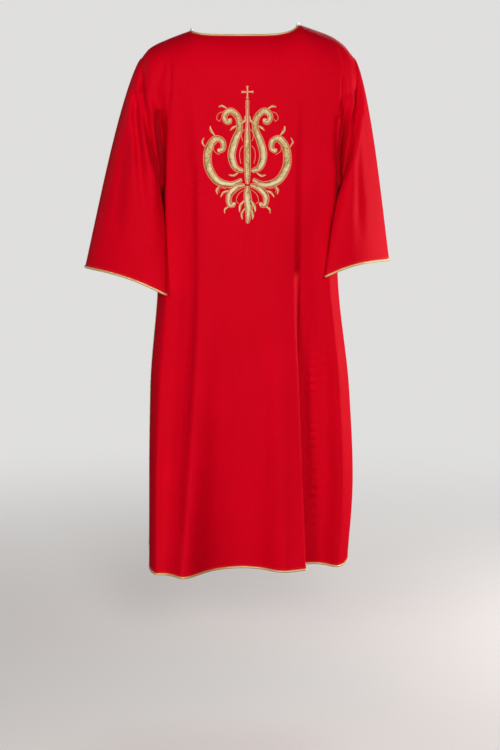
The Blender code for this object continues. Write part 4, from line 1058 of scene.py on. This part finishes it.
def neckEdge():
    runs = []
    for grid, places in ((frontForm, frontPlaces), (backForm, backPlaces)):
        inside = np.abs(places) <= garment["neckPlace"] + 1e-6
        normals = gridNormals(grid)
        runs.append((grid[0, inside], grid[1, inside], normals[0, inside]))
    edge, inner, outward = (np.concatenate((a, b[1:-1][::-1])) for a, b in zip(*runs))
    for end in (0, len(runs[0][0]) - 1):
        outward[end] = unit(outward[end] * (1.0, 0.0, 1.0))
        inner[end] = edge[end] + (math.copysign(piping["aside"], edge[end][0]), 0.0, 0.0)
    return edge, inner, outward


def cuffEdge(grid):
    return grid[-1], grid[-2], gridNormals(grid, True)[-1]


def looped(points, closed):
    return np.concatenate((points, points[:1])) if closed else points


gold = makeGoldPiping()
threadLook = makeRedThread()
bindings = {
    "neck": (neckEdge(), True, "neck_piping"),
    "cuffRight": (cuffEdge(rightForm), True, "cuff_piping_right"),
    "cuffLeft": (cuffEdge(leftForm), True, "cuff_piping_left"),
    "hemFront": (hemEdge(frontForm), False, "hem_piping_front"),
    "hemBack": (hemEdge(backForm), False, "hem_piping_back"),
}
cords, stitchRows = {}, {}
for name, ((edge, inner, outward), closed, node) in bindings.items():
    path = layBeyond(edge, inner, outward, closed, piping["reach"], 0.5 * garment["wall"])
    path, out = evenPath(looped(path, closed), piping["spacing"], looped(outward, closed))
    if closed:
        path, out = path[:-1], out[:-1]
    cord = tube(path, closed, goldPiping["radius"], piping["around"], out)
    cords[name] = meshPiece(name + "Piping", *cord, gold, "gold_piping")
    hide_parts(node)
    row = looped(layBeyond(edge, inner, outward, closed, -stitching["inset"], 0.0), closed)
    stitchRows[name] = stitchPiece(name + "Stitches", row, looped(outward, closed), threadLook)

print("stage: embroidery")
motif = {"at": (0.0055, -0.275), "dome": 0.0016, "ridge": 0.00012, "ridgePitch": 0.0011, "slant": 0.35,
         "step": 0.0004, "columns": 9, "swell": 0.45, "sunk": 0.0002, "bed": 0.0003,
         "outline": 0.00090, "outlineGap": 0.0017, "tendril": 0.00062, "around": 8,
         "sprayColumns": 7, "bead": 0.0018, "beadTurns": 20, "beadRings": 6}
crossShape = {"at": 134.0, "reach": 13.0, "foot": 1.15, "waist": 3.2, "arm": 3.84, "flare": 7.2}
staff = ((0, 117, 2.6), (0, 90, 2.6), (0, 62, 3.4), (0, 40, 7.0), (0, 10, 9.0), (0, -30, 9.0), (0, -50, 6.0),
         (0, -62, 2.5))
middleLeaf = ((0, -66, 3.0), (0, -84, 11.0), (3, -112, 12.0), (2, -132, 7.0), (0, -147, 1.6))
sideStrokes = {
    "volute": ((12, -52, 3.5), (36, -63, 9.0), (66, -54, 12.0), (84, -24, 13.0), (84, 10, 12.5),
               (70, 34, 10.0), (54, 30, 8.0), (52, 14, 6.5), (62, 8, 5.5)),
    "scroll": ((9, -34, 4.0), (26, -26, 9.5), (34, 0, 12.0), (27, 30, 11.5), (17, 56, 9.0), (20, 80, 8.5),
               (36, 94, 9.0), (49, 84, 7.5), (44, 70, 6.0), (34, 73, 5.0)),
    "leaf": ((6, -64, 3.0), (24, -70, 8.5), (39, -86, 9.0), (38, -106, 6.5), (27, -106, 4.5)),
}
# Small worked shapes that grow from the main ones: strokes of (across, up, width)
sprays = (
    ((70, 42, 2.0), (78, 52, 6.0), (80, 62, 1.2)),
    ((92, 18, 2.0), (97, 28, 4.0), (93, 37, 1.2)),
    ((60, -66, 2.0), (66, -75, 5.0), (64, -84, 1.2)),
    ((24, 62, 2.0), (31, 58, 5.0), (37, 52, 1.2)),
    ((14, 66, 2.0), (6, 74, 4.5), (5, 84, 1.2)),
    ((44, 99, 2.0), (54, 104, 5.0), (62, 102, 1.2)),
    ((6, -96, 2.0), (15, -108, 6.0), (17, -122, 1.2)),
    ((6, -114, 2.0), (12, -126, 5.0), (11, -138, 1.2)),
    ((40, -76, 2.0), (51, -80, 5.0), (58, -90, 1.2)),
    ((40, -110, 2.0), (48, -116, 4.5), (49, -125, 1.2)),
    ((20, -38, 2.0), (30, -44, 5.0), (40, -42, 1.2)),
)
tendrils = (
    ((66, 26), (72, 20), (72, 10), (66, 4), (60, 1)),
    ((14, -18), (17, -2), (15, 12), (9, 20)),
    ((10, 30), (13, 42), (9, 52), (3, 56)),
    ((54, 92), (62, 88), (66, 78), (60, 72), (57, 77)),
    ((8, -74), (20, -84), (24, -98), (18, -104)),
    ((46, -72), (56, -70), (62, -74), (60, -80)),
)
beads = ((60, 10, 4.6), (37, 74, 4.4), (29, -105, 4.2))

depsgraph = bpy.context.evaluated_depsgraph_get()
cloth = BVHTree.FromObject(front, depsgraph)


def onCloth(across, up, rise):
    # points of the motif's own plane in millimetres, laid on the front
    across, up, rise = (np.asarray(a, float) for a in (across, up, rise))
    made = np.zeros(across.shape + (3,))
    outs = np.zeros(across.shape + (3,))
    for index in np.ndindex(across.shape):
        x, z = motif["at"][0] + 0.001 * across[index], motif["at"][1] + 0.001 * up[index]
        hit, normal, _, _ = cloth.ray_cast(Vector((x, -1.0, z)), Vector((0.0, 1.0, 0.0)))
        made[index], outs[index] = hit, normal
    return made + outs * rise[..., None], outs


def strokePath(stroke, mirror):
    path = throughPoints(stroke, 24)
    along = distanceAlong(path[:, :2])
    at = np.arange(0.0, along[-1], 1000.0 * motif["step"])
    path = pickAlong(path, along, at)
    path[:, 0] *= mirror
    aside = unit(np.gradient(path[:, :2], axis=0))
    aside = np.stack([-aside[:, 1], aside[:, 0]], axis=1)
    return path, aside, at * 0.001


def satinRibbon(stroke, mirror, columns=motif["columns"]):
    path, aside, along = strokePath(stroke, mirror)
    side = np.linspace(-1.0, 1.0, columns)
    half = 0.5 * path[:, 2:3]
    across = path[:, 0:1] + aside[:, 0:1] * half * side
    up = path[:, 1:2] + aside[:, 1:2] * half * side
    lean = motif["slant"] * side[None, :] * half * 0.001
    ridge = np.cos(2.0 * math.pi * (along[:, None] + lean) / motif["ridgePitch"])
    dome = np.sqrt(np.maximum(1.0 - side ** 2, 0.0))[None, :]
    swell = np.minimum(half * 0.001 * motif["swell"], motif["dome"])
    rise = motif["bed"] + swell * dome + motif["ridge"] * ridge * dome
    rise[:, 0] = rise[:, -1] = rise[0] = rise[-1] = -motif["sunk"]
    points, _ = onCloth(across, up, rise)
    rows = len(points)
    r, c = gridQuads(rows, columns)
    uvs = np.stack([side[c] * 0.5 + 0.5, along[r]], axis=2)
    quads = r * columns + c
    if mirror > 0:
        quads, uvs = quads[:, ::-1], uvs[:, ::-1]
    return points.reshape(-1, 3), quads, uvs


def outlineTubes(stroke, mirror):
    # a couched cord round a stroke
    path, aside, _ = strokePath(stroke, mirror)
    path, aside = path[::3], aside[::3]
    gap = 0.5 * path[:, 2] + 1000.0 * motif["outlineGap"]
    one, two = path[:, :2] + aside * gap[:, None], path[:, :2] - aside * gap[:, None]
    return drawnCord(np.concatenate((one, two[::-1])), True, motif["outline"])


def drawnCord(line, closed, radius):
    points, outs = onCloth(line[:, 0], line[:, 1], np.full(len(line), 0.5 * radius))
    if closed:
        for _ in range(2):
            points = 0.25 * np.roll(points, 1, axis=0) + 0.5 * points + 0.25 * np.roll(points, -1, axis=0)
    return tube(points, closed, radius, motif["around"], outs)


def domeSpot(across, up, radius, rise):
    turns, rings = motif["beadTurns"], motif["beadRings"]
    angle = 2.0 * math.pi * np.arange(turns) / turns
    share = np.linspace(0.04, 1.0, rings)[:, None]
    height = rise * np.sqrt(np.maximum(1.0 - share ** 2, 0.0)) + motif["bed"]
    height = height - 2.0 * motif["sunk"] * (share == 1.0)
    points, _ = onCloth(across + radius * share * np.cos(angle), up + radius * share * np.sin(angle),
                        np.broadcast_to(height, (rings, turns)))
    r, c = gridQuads(rings, turns, True)
    quads = r * turns + c % turns
    centre = np.array([(0, i, i + 1, i + 2) for i in range(1, turns - 2, 2)])
    around = angle[c % turns]
    uvs = np.stack([0.5 + 0.4 * share[r, 0] * np.cos(around), 0.001 * radius * np.sin(around)], axis=2)
    quads = np.concatenate((quads[:, ::-1], centre))
    uvs = np.concatenate((uvs[:, ::-1], np.full((len(centre), 4, 2), 0.5)))
    return points.reshape(-1, 3), quads, uvs


satin = makeSatinStitch()
outlineLook = makeOutlineCord()
shapes = {"Staff": ("motif_staff", staff, 1.0), "LeafMiddle": ("motif_leaf_middle", middleLeaf, 1.0)}
for name, stroke in sideStrokes.items():
    for side, mirror in (("right", -1.0), ("left", 1.0)):
        shapes[name.capitalize() + side.capitalize()] = ("motif_" + name + "_" + side, stroke, mirror)
for name, (node, stroke, mirror) in shapes.items():
    piece = meshPiece("motif" + name, *satinRibbon(stroke, mirror), satin, "gold_embroidery")
    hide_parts(node)

arms = []
for turn in range(4):
    dx, dy = round(math.cos(0.5 * math.pi * turn)), round(math.sin(0.5 * math.pi * turn))
    reach = crossShape["reach"] * (crossShape["foot"] if turn == 3 else 1.0)
    arms.append([(out * dx, crossShape["at"] + out * dy, crossShape[width])
                 for out, width in ((0.4, "waist"), (0.6 * reach, "arm"), (reach, "flare"))])
cross = joined([satinRibbon(arm, 1.0) for arm in arms])
cross = meshPiece("motifCross", *cross, outlineLook, "gold_embroidery")
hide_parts("motif_cross")

small = [satinRibbon(spray, mirror, motif["sprayColumns"]) for spray in sprays for mirror in (-1.0, 1.0)]
small += [domeSpot(mirror * x, y, size, motif["bead"]) for x, y, size in beads for mirror in (-1.0, 1.0)]
meshPiece("motifSprays", *joined(small), satin, "gold_embroidery")
lines = [outlineTubes(stroke, mirror) for _, stroke, mirror in shapes.values()]
lines += [drawnCord(throughPoints(tendril, 10) * (mirror, 1.0), False, motif["tendril"])
          for tendril in tendrils for mirror in (-1.0, 1.0)]
meshPiece("motifOutline", *joined(lines), outlineLook, "gold_embroidery")

print("stage: done")
